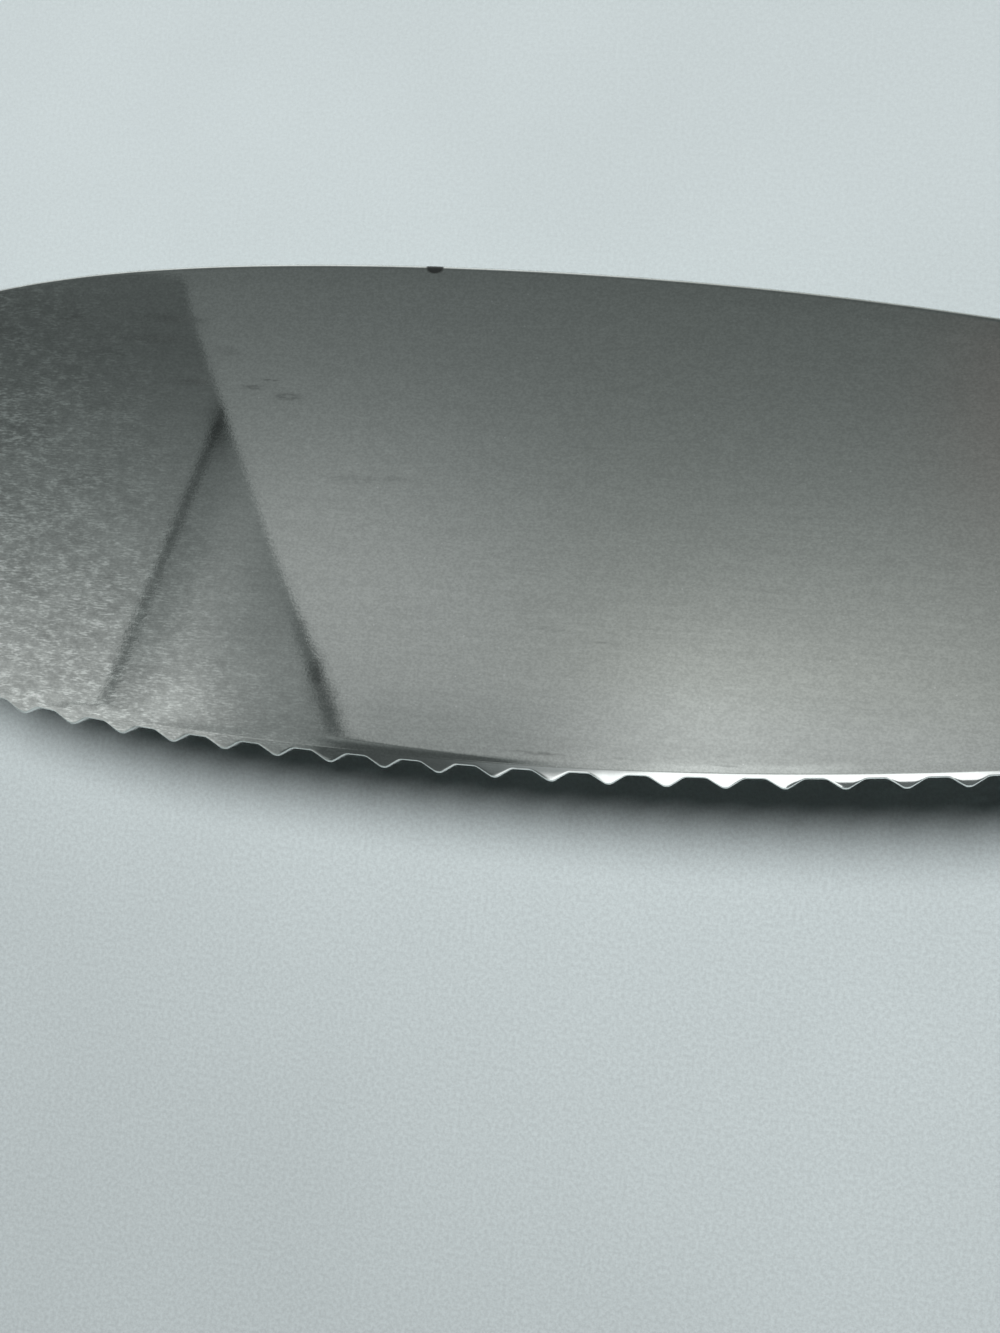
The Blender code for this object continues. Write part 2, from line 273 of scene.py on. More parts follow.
def circle(centre, radius, z, steps):
    turns = [2 * math.pi * i / steps for i in range(steps)]
    return [Vector((centre.x + radius * math.cos(t), centre.y + radius * math.sin(t), z)) for t in turns]


def soft_step(value):
    x = min(max(value, 0.0), 1.0)
    return x * x * (3 - 2 * x)


def soft_min(a, b, blend):
    """The lesser of two values, rounded where they are nearly equal."""
    near = max(blend - abs(a - b), 0.0) / blend
    return min(a, b) - near * near * blend / 4


# Meshes


class Solid:
    """A closed mesh made of loops of points, with a value or a vector kept for each point."""

    def __init__(self, numbers=(), places=()):
        self.shape = bmesh.new()
        kinds = self.shape.verts.layers
        for name in numbers:
            kinds.float.new(name)
        for name in places:
            kinds.float_vector.new(name)

    def loop(self, points, **marks):
        """Vertices at the points. Each mark is a list with one number or vector for each point."""
        verts = [self.shape.verts.new(p / MM) for p in points]
        for name, values in marks.items():
            layer = self.shape.verts.layers.float_vector.get(name) or self.shape.verts.layers.float[name]
            for vert, value in zip(verts, values):
                vert[layer] = value
        return verts

    def band(self, low, high):
        for i in range(len(low)):
            self.shape.faces.new((low[i - 1], low[i], high[i], high[i - 1]))

    def bands(self, loops):
        """Join each loop to the next."""
        for low, high in zip(loops, loops[1:]):
            self.band(low, high)

    def cap(self, *loops):
        """Fill a flat loop, leaving out the loops inside it."""
        edges = []
        for verts in loops:
            for a, b in zip(verts, verts[1:] + verts[:1]):
                edges.append(self.shape.edges.get((a, b)) or self.shape.edges.new((a, b)))
        bmesh.ops.triangle_fill(self.shape, use_beauty=True, use_dissolve=False, edges=edges)

    def finish(self, name, sharp_angle):
        shape = self.shape
        bmesh.ops.recalc_face_normals(shape, faces=shape.faces)
        bmesh.ops.scale(shape, vec=(MM, MM, MM), verts=shape.verts)
        mesh = bpy.data.meshes.new(name)
        shape.to_mesh(mesh)
        shape.free()
        mesh.shade_smooth()
        mesh.set_sharp_from_angle(angle=math.radians(sharp_angle))
        return mesh


def turned(name, profile, steps):
    """A solid of revolution about Z from (radius, z) pairs, with a flat face at each end."""
    solid = Solid()
    rings = [solid.loop(circle(Vector((0, 0)), radius, z, steps)) for radius, z in profile]
    solid.bands(rings)
    solid.cap(rings[0])
    solid.cap(rings[-1])
    return solid.finish(name, sharp_angle=30.0)


def rounded_corner(corner, radius, start, end, steps):
    """Profile points round a corner, from the start direction to the end direction in degrees."""
    points = []
    for i in range(steps + 1):
        t = math.radians(start + (end - start) * i / steps)
        points.append((corner[0] + radius * math.cos(t), corner[1] + radius * math.sin(t)))
    return points


def add_piece(name, mesh, material, node, location=(0, 0, 0)):
    """Add a piece of the object, which stands for a node of the frame."""
    mesh.materials.append(material)
    piece = bpy.data.objects.new(name, mesh)
    bpy.context.scene.collection.objects.link(piece)
    piece.location = location
    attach(piece, "root")
    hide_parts(node)


# Blade

Station = namedtuple("Station", "point notch bevel shoulder rim along")
EDGE_STEPS = 240
SCALLOP_STEPS = 24
PLAIN_STEPS = 40
SPINE_STEPS = 70
TANG_STEPS = 20
RIM_STEPS = 4
BEVEL_STEPS = 4
SHOULDER_STEPS = 8
HOLE_STEPS = 48
TOOTH_SHARE = 0.045  # of the pitch that the blunt point takes on each side
FLANK_SHARE = 0.275  # of the pitch from the tooth to the floor
TOOTH_ROUND = 0.1  # of the depth over which tooth and flank, and flank and floor, run together
FLOOR_ROUND = 0.16
CREASE = 0.012 * MM  # half the width of the line where shoulder and bevel meet
LOWER_BREAK = 0.06 * MM  # rounding of the blade's lower rim
TANG_RIM = 0.03 * MM  # and of the tang's upper rim
HOLD = 0.08 * MM  # strip that keeps a flat face flat beside a rounding
MIDWAY = 0.3  # how far in from each face the middle of a small rounding lies, as a share of it
GROUND_REACH = 0.8 * MM  # how far grinding marks run on past the shoulder


def scallop(share):
    """Depth of a scallop, as a share, at a share of its pitch: blunt tooth, straight flank, flat floor."""
    ramp = (min(share, 1 - share) - TOOTH_SHARE) / FLANK_SHARE
    return soft_min(-soft_min(-ramp, 0.0, TOOTH_ROUND), 1.0, FLOOR_ROUND)


def scalloped_stations(blade):
    """Stations on the line of the teeth, from the tip to the neck."""
    half_width = HANDLE_FRONT.y - BLADE_LOW.y
    side = mirrored(leaf_side(blade, half_width, blade.edge_reaches, EDGE_STEPS))
    distances = lengths_along(side)
    pitch = blade.scallop_pitch
    first = blade.plain_at_tip
    count = int((distances[-1] - first - blade.plain_at_heel) / pitch)
    last = first + count * pitch
    places = [(first * i / PLAIN_STEPS, 0.0) for i in range(PLAIN_STEPS)]
    for i in range(count * SCALLOP_STEPS):
        share = i / SCALLOP_STEPS
        places.append((first + share * pitch, blade.scallop_depth * scallop(share % 1)))
    heel = distances[-1] - last
    places += [(last + heel * i / PLAIN_STEPS, 0.0) for i in range(PLAIN_STEPS)]
    stations = []
    for along, notch in places:
        outside = max(first - along, along - last, 0.0)
        bevel = soft_step(1 - outside / blade.bevel_runout)
        rim = blade.spine_rim + (blade.tooth_rim - blade.spine_rim) * bevel
        shoulder = blade.spine_roll + (blade.shoulder_angle - blade.spine_roll) * bevel
        stations.append(Station(point_along(side, distances, along), notch, bevel, shoulder, rim, along))
    return stations


def plain_stations(points, rim, shoulder):
    return [Station(p, 0.0, 0.0, shoulder, rim, p.x) for p in points]


def blade_stations(blade, handle):
    """The blade's whole outline, counter-clockwise from the tip: edge, tang, spine."""
    spine_width = BLADE_HIGH.y - HANDLE_FRONT.y
    tang = handle_side(handle, blade.neck_half_width, TANG_STEPS)
    spine = leaf_side(blade, spine_width, blade.spine_reaches, SPINE_STEPS)
    stations = scalloped_stations(blade)
    stations += plain_stations(mirrored(tang) + tang[-2::-1], TANG_RIM, 0.0)
    stations += plain_stations(spine[-2:0:-1], blade.spine_rim, blade.spine_roll)
    return stations


def edge_drop(blade, station, inset):
    """How far the blade's upper side lies below its flat at an inset from the line of the teeth."""
    width = blade.bevel_width
    roll = math.tan(station.shoulder)
    inner = math.tan(blade.bevel_inner_angle)
    outer = math.tan(blade.bevel_outer_angle)
    out = max(width - inset, 0.0)
    past_flat = max(width + blade.shoulder_width - inset, 0.0)
    rolled = min(past_flat, blade.shoulder_roll)
    shoulder = roll * (rolled * rolled / (2 * blade.shoulder_roll) + past_flat - rolled)
    ground = (inner - roll) * out + (outer - inner) * out * out / (2 * width)
    return shoulder + station.bevel * ground


def blade_rings(blade, stations):
    """Rings over the blade's rim from its lower flat to its upper flat: one (inset, z) for each station."""
    low, top = BLADE_LOW.z, BLADE_HIGH.z
    width = blade.bevel_width
    flat = width + blade.shoulder_width
    rings = [
        [(s.notch + LOWER_BREAK + HOLD, low) for s in stations],
        [(s.notch + LOWER_BREAK, low) for s in stations],
        [(s.notch + MIDWAY * LOWER_BREAK, low + MIDWAY * LOWER_BREAK) for s in stations],
        [(s.notch, low + LOWER_BREAK) for s in stations],
    ]
    for i in range(RIM_STEPS + 1):
        turn = math.pi / 2 * i / RIM_STEPS
        ring = []
        for s in stations:
            inset = s.notch + s.rim * (1 - math.cos(turn))
            ring.append((inset, top - edge_drop(blade, s, inset) - s.rim * (1 - math.sin(turn))))
        rings.append(ring)
    for i in range(1, BEVEL_STEPS + 1):
        share = i / BEVEL_STEPS
        insets = [s.notch + s.rim + (width - 3 * CREASE - s.notch - s.rim) * share for s in stations]
        rings.append([(inset, top - edge_drop(blade, s, inset)) for s, inset in zip(stations, insets)])
    levels = [width - CREASE, width + CREASE, width + 3 * CREASE]
    levels += [width + blade.shoulder_width * i / SHOULDER_STEPS for i in range(1, SHOULDER_STEPS)]
    levels += [flat, flat + HOLD, flat + GROUND_REACH / 2, flat + GROUND_REACH]
    for inset in levels:
        rings.append([(inset, top - edge_drop(blade, s, inset)) for s in stations])
    return rings


def blade_mesh(blade, handle, rivets):
    stations = blade_stations(blade, handle)
    normals = inward_normals([s.point for s in stations])
    rings = blade_rings(blade, stations)
    solid = Solid(numbers=("ground", "worn"), places=("grind",))
    strip = blade.shoulder_width + GROUND_REACH
    loops = []
    for ring in rings:
        points, ground, grind, worn = [], [], [], []
        for s, normal, (inset, z) in zip(stations, normals, ring):
            place = s.point + normal * inset + HANDLE_FRONT
            points.append(Vector((place.x, place.y, z)))
            ground.append(s.bevel * soft_step((blade.bevel_width + strip - inset) / strip))
            grind.append(Vector((s.along, inset, 0.0)))
            worn.append(soft_step(1 - (inset - s.notch) / (2 * s.rim)))
        loops.append(solid.loop(points, ground=ground, grind=grind, worn=worn))
    solid.bands(loops)
    holes = {}
    radius = rivets.socket_radius + rivets.fit
    for z in (BLADE_LOW.z, BLADE_HIGH.z):
        holes[z] = [solid.loop(circle(RIVET_AXES[p], radius, z, HOLE_STEPS)) for p in RIVETS]
    solid.cap(loops[0], *holes[BLADE_LOW.z])
    solid.cap(loops[-1], *holes[BLADE_HIGH.z])
    for low, high in zip(holes[BLADE_LOW.z], holes[BLADE_HIGH.z]):
        solid.band(low, high)
    return solid.finish("blade_steel", sharp_angle=40.0)


# Scales

SCALE_STEPS = 24
CORNER_STEPS = 16
ROUND_STEPS = 14
LIP = 0.06 * MM  # easing of the rivet holes' mouths


def scale_outline(handle, neck):
    """The handle's outline with its two front corners rounded, counter-clockwise."""
    side = handle_side(handle, neck, SCALE_STEPS)
    corner = handle.front_corner
    xs = [p.x for p in side]
    half = []
    for i in range(CORNER_STEPS + 1):
        turn = math.pi / 2 * i / CORNER_STEPS
        x = corner * (1 - math.cos(turn))
        after = next(j for j in range(1, len(xs)) if xs[j] >= x)
        share = (x - xs[after - 1]) / (xs[after] - xs[after - 1])
        width = side[after - 1].lerp(side[after], share).y
        half.append(Vector((x, width - corner * (1 - math.sin(turn)))))
    half += [p for p in side if p.x > corner]
    return mirrored(half) + half[-2::-1]


def scale_mesh(name, blade, handle, rivets, inner, outer, seat):
    """A handle slab with a rounded rim, a sloping nose and stepped holes for the rivets."""
    outline = scale_outline(handle, blade.neck_half_width)
    normals = inward_normals(outline)
    up = math.copysign(1.0, outer - inner)
    eased = handle.eased
    midway = MIDWAY * eased
    levels = [(eased + HOLD, 0.0, 0.0), (eased, 0.0, 0.0), (midway, midway, 0.0), (0.0, eased, 0.0)]
    for i in range(ROUND_STEPS + 1):
        turn = math.pi / 2 * i / ROUND_STEPS
        rise = abs(outer - inner) - handle.rim * (1 - math.sin(turn))
        levels.append((handle.rim * (1 - math.cos(turn)), rise, math.sin(turn)))
    levels.append((handle.rim + HOLD, abs(outer - inner), 1.0))
    solid = Solid(numbers=("worn",))
    loops = []
    for inset, rise, climb in levels:
        points = []
        for p, normal in zip(outline, normals):
            place = p + normal * inset
            lean = max(0.0, 1 - place.x / handle.nose_length) ** 2
            place.x += handle.nose_setback * climb * lean
            place += HANDLE_FRONT
            points.append(Vector((place.x, place.y, inner + up * rise)))
        worn = [math.sin(2 * math.asin(min(climb, 1.0)))] * len(points)
        loops.append(solid.loop(points, worn=worn))
    solid.bands(loops)
    wide = HEAD_RADIUS + rivets.fit
    narrow = rivets.socket_radius + rivets.fit
    steps = ((wide + LIP, outer), (wide, outer - up * LIP), (wide, seat), (narrow, seat), (narrow, inner))
    mouths, ends = [], []
    for place in RIVETS:
        hole = [solid.loop(circle(RIVET_AXES[place], radius, z, HOLE_STEPS)) for radius, z in steps]
        solid.bands(hole)
        mouths.append(hole[0])
        ends.append(hole[-1])
    solid.cap(loops[0], *ends)
    solid.cap(loops[-1], *mouths)
    return solid.finish(name, sharp_angle=35.0)


# Rivets

TURNED_STEPS = 64
HEAD_RIM_STEPS = 5
CHAMFER = 0.2 * MM


def socket_mesh(name, rivets):
    """Hollow half of a rivet, head down."""
    seat = SOCKET_FACE + rivets.head_thickness
    floor = seat + rivets.bore_floor
    rim = rivets.head_rim
    profile = [(HEAD_RADIUS - 2 * rim, SOCKET_FACE)]
    profile += rounded_corner((HEAD_RADIUS - rim, SOCKET_FACE + rim), rim, -90, 0, HEAD_RIM_STEPS)
    profile += [
        (HEAD_RADIUS, seat),
        (rivets.socket_radius, seat),
        (rivets.socket_radius, SOCKET_END - CHAMFER),
        (rivets.socket_radius - CHAMFER, SOCKET_END),
        (rivets.bore_radius + CHAMFER, SOCKET_END),
        (rivets.bore_radius, SOCKET_END - CHAMFER),
        (rivets.bore_radius, floor),
    ]
    return turned(name, profile, TURNED_STEPS)


def post_mesh(name, rivets):
    """Solid half of a rivet, head up, its post standing in the socket."""
    seat = POST_FACE - rivets.head_thickness
    rim = rivets.head_rim
    profile = [
        (rivets.post_radius - CHAMFER, POST_END),
        (rivets.post_radius, POST_END + CHAMFER),
        (rivets.post_radius, seat),
        (HEAD_RADIUS, seat),
    ]
    profile += rounded_corner((HEAD_RADIUS - rim, POST_FACE - rim), rim, 0, 90, HEAD_RIM_STEPS)
    profile.append((HEAD_RADIUS - 2 * rim, POST_FACE))
    return turned(name, profile, TURNED_STEPS)


# Node trees

# A soft step: where it starts and ends, and the values before and after it
Step = namedtuple("Step", "start end before after", defaults=(0.0, 1.0))
NOISE_SPAN = (0.3, 0.7)  # between which most of a noise lies


def fade(start, end):
    """A soft step from one down to nothing."""
    return Step(start, end, 1.0, 0.0)


class Graph:
    """Short ways to add nodes to a tree and join them."""

    def __init__(self, tree):
        self.tree = tree

    def feed(self, socket, value):
        if isinstance(value, bpy.types.NodeSocket):
            self.tree.links.new(value, socket)
        else:
            socket.default_value = value

    def node(self, kind, inputs=None, **settings):
        made = self.tree.nodes.new(kind)
        for name, value in settings.items():
            setattr(made, name, value)
        for name, value in (inputs or {}).items():
            self.feed(made.inputs[name], value)
        return made

    def math(self, operation, *values, clamp=False):
        inputs = dict(enumerate(values))
        return self.node("ShaderNodeMath", inputs, operation=operation, use_clamp=clamp).outputs[0]

    def plus(self, *values):
        return reduce(partial(self.math, "ADD"), values)

    def times(self, *values):
        return reduce(partial(self.math, "MULTIPLY"), values)

    def minus(self, value, other):
        return self.math("SUBTRACT", value, other)

    def over(self, value, other):
        return self.math("DIVIDE", value, other)

    def weigh(self, base, masks, weights):
        """A base with masks added to it, each by its weight."""
        for mask, weight in zip(masks, weights):
            base = self.math("MULTIPLY_ADD", mask, weight, base)
        return base

    def step(self, value, step):
        """What a value comes to on a soft step."""
        names = ("From Min", "From Max", "To Min", "To Max")
        inputs = {"Value": value, **dict(zip(names, step))}
        return self.node("ShaderNodeMapRange", inputs, interpolation_type="SMOOTHSTEP").outputs["Result"]

    def swing(self, noise, reach):
        """A noise spread from minus to plus a reach."""
        return self.step(noise, Step(*NOISE_SPAN, -reach, reach))

    def window(self, value, opening, closing):
        """One between the opening and the closing, and nothing outside them."""
        return self.times(self.step(value, Step(*opening)), self.step(value, fade(*closing)))

    def clamp(self, value, reach):
        """A value held between minus and plus a reach."""
        return self.node("ShaderNodeClamp", {"Value": value, "Min": -reach, "Max": reach}).outputs[0]

    def mix(self, share, low, high):
        """A colour between two colours."""
        made = self.node("ShaderNodeMix", data_type="RGBA")
        for index, value in ((0, share), (6, low), (7, high)):
            self.feed(made.inputs[index], value)
        return made.outputs[2]

    def blend(self, share, low, high):
        """A number between two numbers."""
        made = self.node("ShaderNodeMix", data_type="FLOAT")
        for index, value in ((0, share), (2, low), (3, high)):
            self.feed(made.inputs[index], value)
        return made.outputs[0]

    def vector(self, operation, *values):
        return self.node("ShaderNodeVectorMath", dict(enumerate(values)), operation=operation).outputs[0]

    def length(self, vector):
        return self.node("ShaderNodeVectorMath", {0: vector}, operation="LENGTH").outputs["Value"]

    def shaded(self, color, tone):
        """A colour made darker or lighter by a tone, which is 1 where it stays."""
        return self.node("ShaderNodeVectorMath", {0: color, 3: tone}, operation="SCALE").outputs[0]

    def parts(self, vector):
        return self.node("ShaderNodeSeparateXYZ", {0: vector}).outputs

    def drawn_out(self, place, along, across):
        """A place counted in steps of one size along X and of another across it."""
        pitch = self.node("ShaderNodeCombineXYZ", {0: along, 1: across, 2: across}).outputs[0]
        return self.vector("DIVIDE", place, pitch)

    def noise(self, vector, detail=2.0, roughness=0.5, scale=1.0):
        inputs = {"Vector": vector, "Scale": scale, "Detail": detail, "Roughness": roughness}
        return self.node("ShaderNodeTexNoise", inputs).outputs["Fac"]

    def attribute(self, name, output="Fac"):
        return self.node("ShaderNodeAttribute", attribute_name=name).outputs[output]

    def group(self, tree, **inputs):
        made = self.node("ShaderNodeGroup", node_tree=tree)
        for name, value in inputs.items():
            self.feed(made.inputs[name.replace("_", " ").capitalize()], value)
        return made.outputs


# Groups that the materials share

SMUDGE_LEVEL = 0.75  # of the cloud where smudges begin, without any cover
SMUDGE_COVER = 0.5  # how far full cover brings that level down
SMUDGE_SOFT = 0.22  # how soft their edges are
SCRATCH_LINE = fade(0.0, 0.02)
SCRATCH_PARTS = Step(0.5, 0.62)  # what is left of a scratch that comes and goes
WEAR_PATCHES = Step(0.3, 0.7, 0.25, 1.0)
STREAK_FADE = fade(0.1, 1.0)
STREAK_DRAW = 5.0  # how much longer than their spacing a streak's lines are
STREAK_LINES = Step(0.35, 0.65, 0.2, 1.0)


def new_group(name, inputs, output):
    """A shader group with its sockets, as (tree, graph, its inputs, the socket of its output)."""
    tree = bpy.data.node_groups.new(name, "ShaderNodeTree")
    for label, kind in inputs:
        tree.interface.new_socket(label, in_out="INPUT", socket_type=f"NodeSocket{kind}")
    tree.interface.new_socket(output, in_out="OUTPUT", socket_type="NodeSocketFloat")
    graph = Graph(tree)
    return tree, graph, graph.node("NodeGroupInput").outputs, graph.node("NodeGroupOutput").inputs[output]


def shared_group(name, build):
    """The group of that name, built at its first use."""
    return bpy.data.node_groups.get(name) or build(name)


def grain_group(name):
    """Fine lines along the first coordinate."""
    sockets = (("Place", "Vector"), ("Line length", "Float"), ("Line spacing", "Float"), ("Detail", "Float"))
    tree, graph, given, out = new_group(name, sockets, "Lines")
    place = graph.drawn_out(given["Place"], given["Line length"], given["Line spacing"])
    graph.feed(out, graph.noise(place, given["Detail"], roughness=0.6))
    return tree


def smudge_group(name):
    """Soft patches, as a finger or a cloth leaves them."""
    sockets = (("Place", "Vector"), ("Patch size", "Float"), ("Cover", "Float"))
    tree, graph, given, out = new_group(name, sockets, "Mask")
    scale = graph.over(1.0, given["Patch size"])
    cloud = graph.noise(given["Place"], detail=5.0, roughness=0.62, scale=scale)
    low = graph.minus(SMUDGE_LEVEL, graph.times(given["Cover"], SMUDGE_COVER))
    graph.feed(out, graph.step(cloud, Step(low, graph.plus(low, SMUDGE_SOFT))))
    return tree


def scratch_group(name):
    """Sparse thin scratches that cross each other at random."""
    sockets = (("Place", "Vector"), ("Scratch length", "Float"), ("Spread", "Float"), ("Turn", "Float"))
    tree, graph, given, out = new_group(name, sockets, "Mask")
    inputs = {"Vector": given["Place"], "Angle": given["Turn"]}
    turned_place = graph.node("ShaderNodeVectorRotate", inputs, rotation_type="Z_AXIS").outputs[0]
    across = graph.times(given["Scratch length"], given["Spread"])
    place = graph.drawn_out(turned_place, given["Scratch length"], across)
    cells = graph.node("ShaderNodeTexVoronoi", {"Vector": place, "Scale": 1.0}, feature="DISTANCE_TO_EDGE")
    line = graph.step(cells.outputs["Distance"], SCRATCH_LINE)
    parts = graph.step(graph.noise(place, detail=3.0, roughness=0.5, scale=1.7), SCRATCH_PARTS)
    graph.feed(out, graph.times(line, parts))
    return tree


def wear_group(name):
    """Where an edge has been rubbed bright, from a mark that is 1 on the edge itself."""
    sockets = (("Place", "Vector"), ("Edge", "Float"), ("Patch size", "Float"))
    tree, graph, given, out = new_group(name, sockets, "Mask")
    scale = graph.over(1.0, given["Patch size"])
    cloud = graph.step(graph.noise(given["Place"], detail=4.0, roughness=0.6, scale=scale), WEAR_PATCHES)
    graph.feed(out, graph.math("MULTIPLY", given["Edge"], cloud, clamp=True))
    return tree


def streak_group(name):
    """One patch of tarnish drawn out along X, about a centre."""
    sockets = (("Place", "Vector"), ("Centre", "Vector"), ("Half size", "Vector"), ("Line spacing", "Float"))
    tree, graph, given, out = new_group(name, sockets, "Mask")
    away = graph.vector("SUBTRACT", given["Place"], given["Centre"])
    reach = graph.length(graph.vector("DIVIDE", away, given["Half size"]))
    spacing = given["Line spacing"]
    place = graph.drawn_out(given["Place"], graph.times(spacing, STREAK_DRAW), spacing)
    lines = graph.step(graph.noise(place, detail=3.0, roughness=0.6), STREAK_LINES)
    graph.feed(out, graph.times(graph.step(reach, STREAK_FADE), lines))
    return tree


def grain_lines(graph, place, lines):
    """Fine lines of a finish: their length and spacing in millimetres, and their detail."""
    along, across, detail = lines
    grain = shared_group("Grain", grain_group)
    made = graph.group(grain, place=place, line_length=along * MM, line_spacing=across * MM, detail=detail)
    return made["Lines"]


def smudges(graph, place, patch, cover):
    """Soft patches of a size in millimetres."""
    group = shared_group("Smudge", smudge_group)
    return graph.group(group, place=place, patch_size=patch * MM, cover=cover)["Mask"]


def edge_wear(graph, place, patch):
    """Rubbed edges of a piece, in patches of a size in millimetres."""
    group = shared_group("Edge wear", wear_group)
    return graph.group(group, place=place, edge=graph.attribute("worn"), patch_size=patch * MM)["Mask"]


# Materials


def new_material(name):
    """A material with its graph, its shader and the place on the object that its patterns read."""
    material = bpy.data.materials.new(name)
    material.use_nodes = True
    graph = Graph(material.node_tree)
    shader = material.node_tree.nodes["Principled BSDF"]
    place = graph.node("ShaderNodeTexCoord").outputs["Object"]
    return material, graph, shader, place


def bump(graph, shader, height, distance):
    """Give a shader the relief of a height, which is a distance deep."""
    made = graph.node("ShaderNodeBump", {"Strength": 1.0, "Distance": distance, "Height": height})
    graph.feed(shader.inputs["Normal"], made.outputs["Normal"])


def opaque(color):
    return (*color, 1.0)


# Lines in the steel: length and spacing in millimetres, detail
BRUSHING = (7.0, 0.3, 2.0)
SPECKLE = (0.16, 0.13, 1.0)
FLECKS = (0.42, 0.095, 1.0)
DRIFT = (0.9, 0.6, 3.0)
MOTTLE = (3.4, 1.8, 2.0)
BEVEL_GRIND = (6.0, 0.09, 2.0)
STEEL_SMUDGES = (9.0, 0.55)  # size in millimetres and cover
STEEL_WEAR_PATCH = 2.0
STEEL_WEAR = 0.5

# The flat is worn in flecks towards the tip, up to a line aslant
WORN_SLANT = 0.6
WORN_FLAT = Step(-0.103, -0.082, 1.0, 0.1)
WORN_LEAST = 0.75  # share of that wear outside the smudges
FLECK_TONE = Step(0.35, 0.75, -0.27, 0.76)
FLECK_CLUMPS = Step(0.42, 0.6, 0.25, 1.0)
PATCH_TONE = 0.21
MOTTLE_TONE = 0.12
BRUSHED_TONE = 0.028
BRUSHED_SIDE = Step(-0.003, 0.006, 1.0, 0.4)  # brushing shows more beside the scallops
SPECKLE_TONES = (0.915, 1.085)

STEEL_RELIEF = 0.0005 * MM
FLAT_RELIEF = (0.5, 0.6, 1.2)  # of speckle, brushing and flecks
GROUND_RELIEF = 1.2
STEEL_ROUGH = 0.022
STEEL_ROUGHER = (0.02, 0.008, 0.3, 0.03)  # in the brushing, smudges and stains and on the ground strip
STEEL_GRAIN = (0.6, 0.25)  # anisotropy and its turn
GRAIN_MAP_SCALE = 4.0
GRAIN_MAP_LEAN = 0.3  # keeps upright faces from having no width in the map

BARE_INSET = (7 * CREASE, 3 * CREASE)  # how far before the crease bare metal ends
BARE_GROUND = Step(0.9, 1.0)
BARE_FROM = Step(-0.077, -0.062)  # where along the blade the bevel turns from dull to bare
GLINT_SPACING = 0.25 * MM  # of the places where a speck of bright metal may show
GLINT_CHOSEN = Step(0.992, 0.993)
GLINT_SPOT = Step(0.1, 0.3, 0.55, 0.0)

# Tarnished streaks on the flat in millimetres: centre x, centre y, half length, half width, and darkness
STREAKS = (
    (-82.6, 6.95, 1.35, 0.38, 0.50),
    (-85.0, 7.45, 1.3, 0.26, 0.45),
    (-83.9, 7.95, 0.9, 0.10, 0.50),
    (-86.9, 9.75, 1.5, 0.45, 0.18),
    (-89.2, 7.60, 2.0, 0.45, 0.48),
    (-91.8, 10.30, 3.2, 0.46, 0.48),
    (-91.3, 11.70, 3.4, 0.44, 0.44),
    (-97.9, 11.50, 1.1, 0.42, 0.32),
    (-95.4, 9.30, 2.2, 0.40, 0.18),
    (-77.2, 1.85, 2.6, 0.60, 0.15),
    (-75.0, 2.05, 1.3, 0.25, 0.18),
    (-64.4, -6.55, 1.8, 0.45, 0.15),
    (-61.0, -7.20, 1.5, 0.12, 0.20),
    (-64.2, -14.16, 2.8, 0.18, 0.38),
    (-58.65, -14.02, 1.6, 0.14, 0.30),
    (-52.9, -13.87, 1.8, 0.14, 0.26),
    (-53.3, -13.32, 1.5, 0.16, 0.22),
)
STREAK_DEPTH = 0.4 * MM
STREAK_SPACING = 0.15 * MM
NICK = (-73.9, 15.75, 0.62, 0.42)  # stain at a nick in the spine: centre x, y and half sizes
NICK_DEPTH = 0.5 * MM
NICK_FADE = Step(0.75, 1.05, 0.95, 0.0)


def tarnish(graph, place):
    """Mask of the streaks on the flat and of the nick in the spine."""
    stain = 0.0
    streaks = shared_group("Tarnish streak", streak_group)
    for cx, cy, half_length, half_width, dark in STREAKS:
        centre = (cx * MM, cy * MM, BLADE_HIGH.z)
        half = (half_length * MM, half_width * MM, STREAK_DEPTH)
        made = graph.group(streaks, place=place, centre=centre, half_size=half, line_spacing=STREAK_SPACING)
        stain = graph.plus(stain, graph.times(made["Mask"], dark))
    cx, cy, half_length, half_width = NICK
    away = graph.vector("SUBTRACT", place, (cx * MM, cy * MM, BLADE_HIGH.z))
    reach = graph.length(graph.vector("DIVIDE", away, (half_length * MM, half_width * MM, NICK_DEPTH)))
    return graph.math("ADD", stain, graph.step(reach, NICK_FADE), clamp=True)


def flat_tone(graph, place, lines, flecks, worn_flat):
    """How much lighter or darker than its plain colour the flat is."""
    drift = grain_lines(graph, place, DRIFT)
    mottle = grain_lines(graph, place, MOTTLE)
    tone = graph.times(graph.step(flecks, FLECK_TONE), graph.step(drift, FLECK_CLUMPS))
    tone = graph.math("MULTIPLY_ADD", graph.swing(drift, 1.0), PATCH_TONE, tone)
    tone = graph.plus(graph.swing(mottle, MOTTLE_TONE), tone)
    tone = graph.math("MULTIPLY_ADD", tone, worn_flat, 1.0)
    brushed = graph.times(graph.swing(lines, BRUSHED_TONE), graph.step(graph.parts(place)[1], BRUSHED_SIDE))
    return graph.plus(tone, brushed)


def glints(graph, place):
    """Mask of a few specks of bright metal."""
    cells = graph.node("ShaderNodeTexVoronoi", {"Vector": place, "Scale": 1 / GLINT_SPACING}).outputs
    chosen = graph.step(graph.parts(cells["Color"])[0], GLINT_CHOSEN)
    return graph.times(chosen, graph.step(cells["Distance"], GLINT_SPOT))


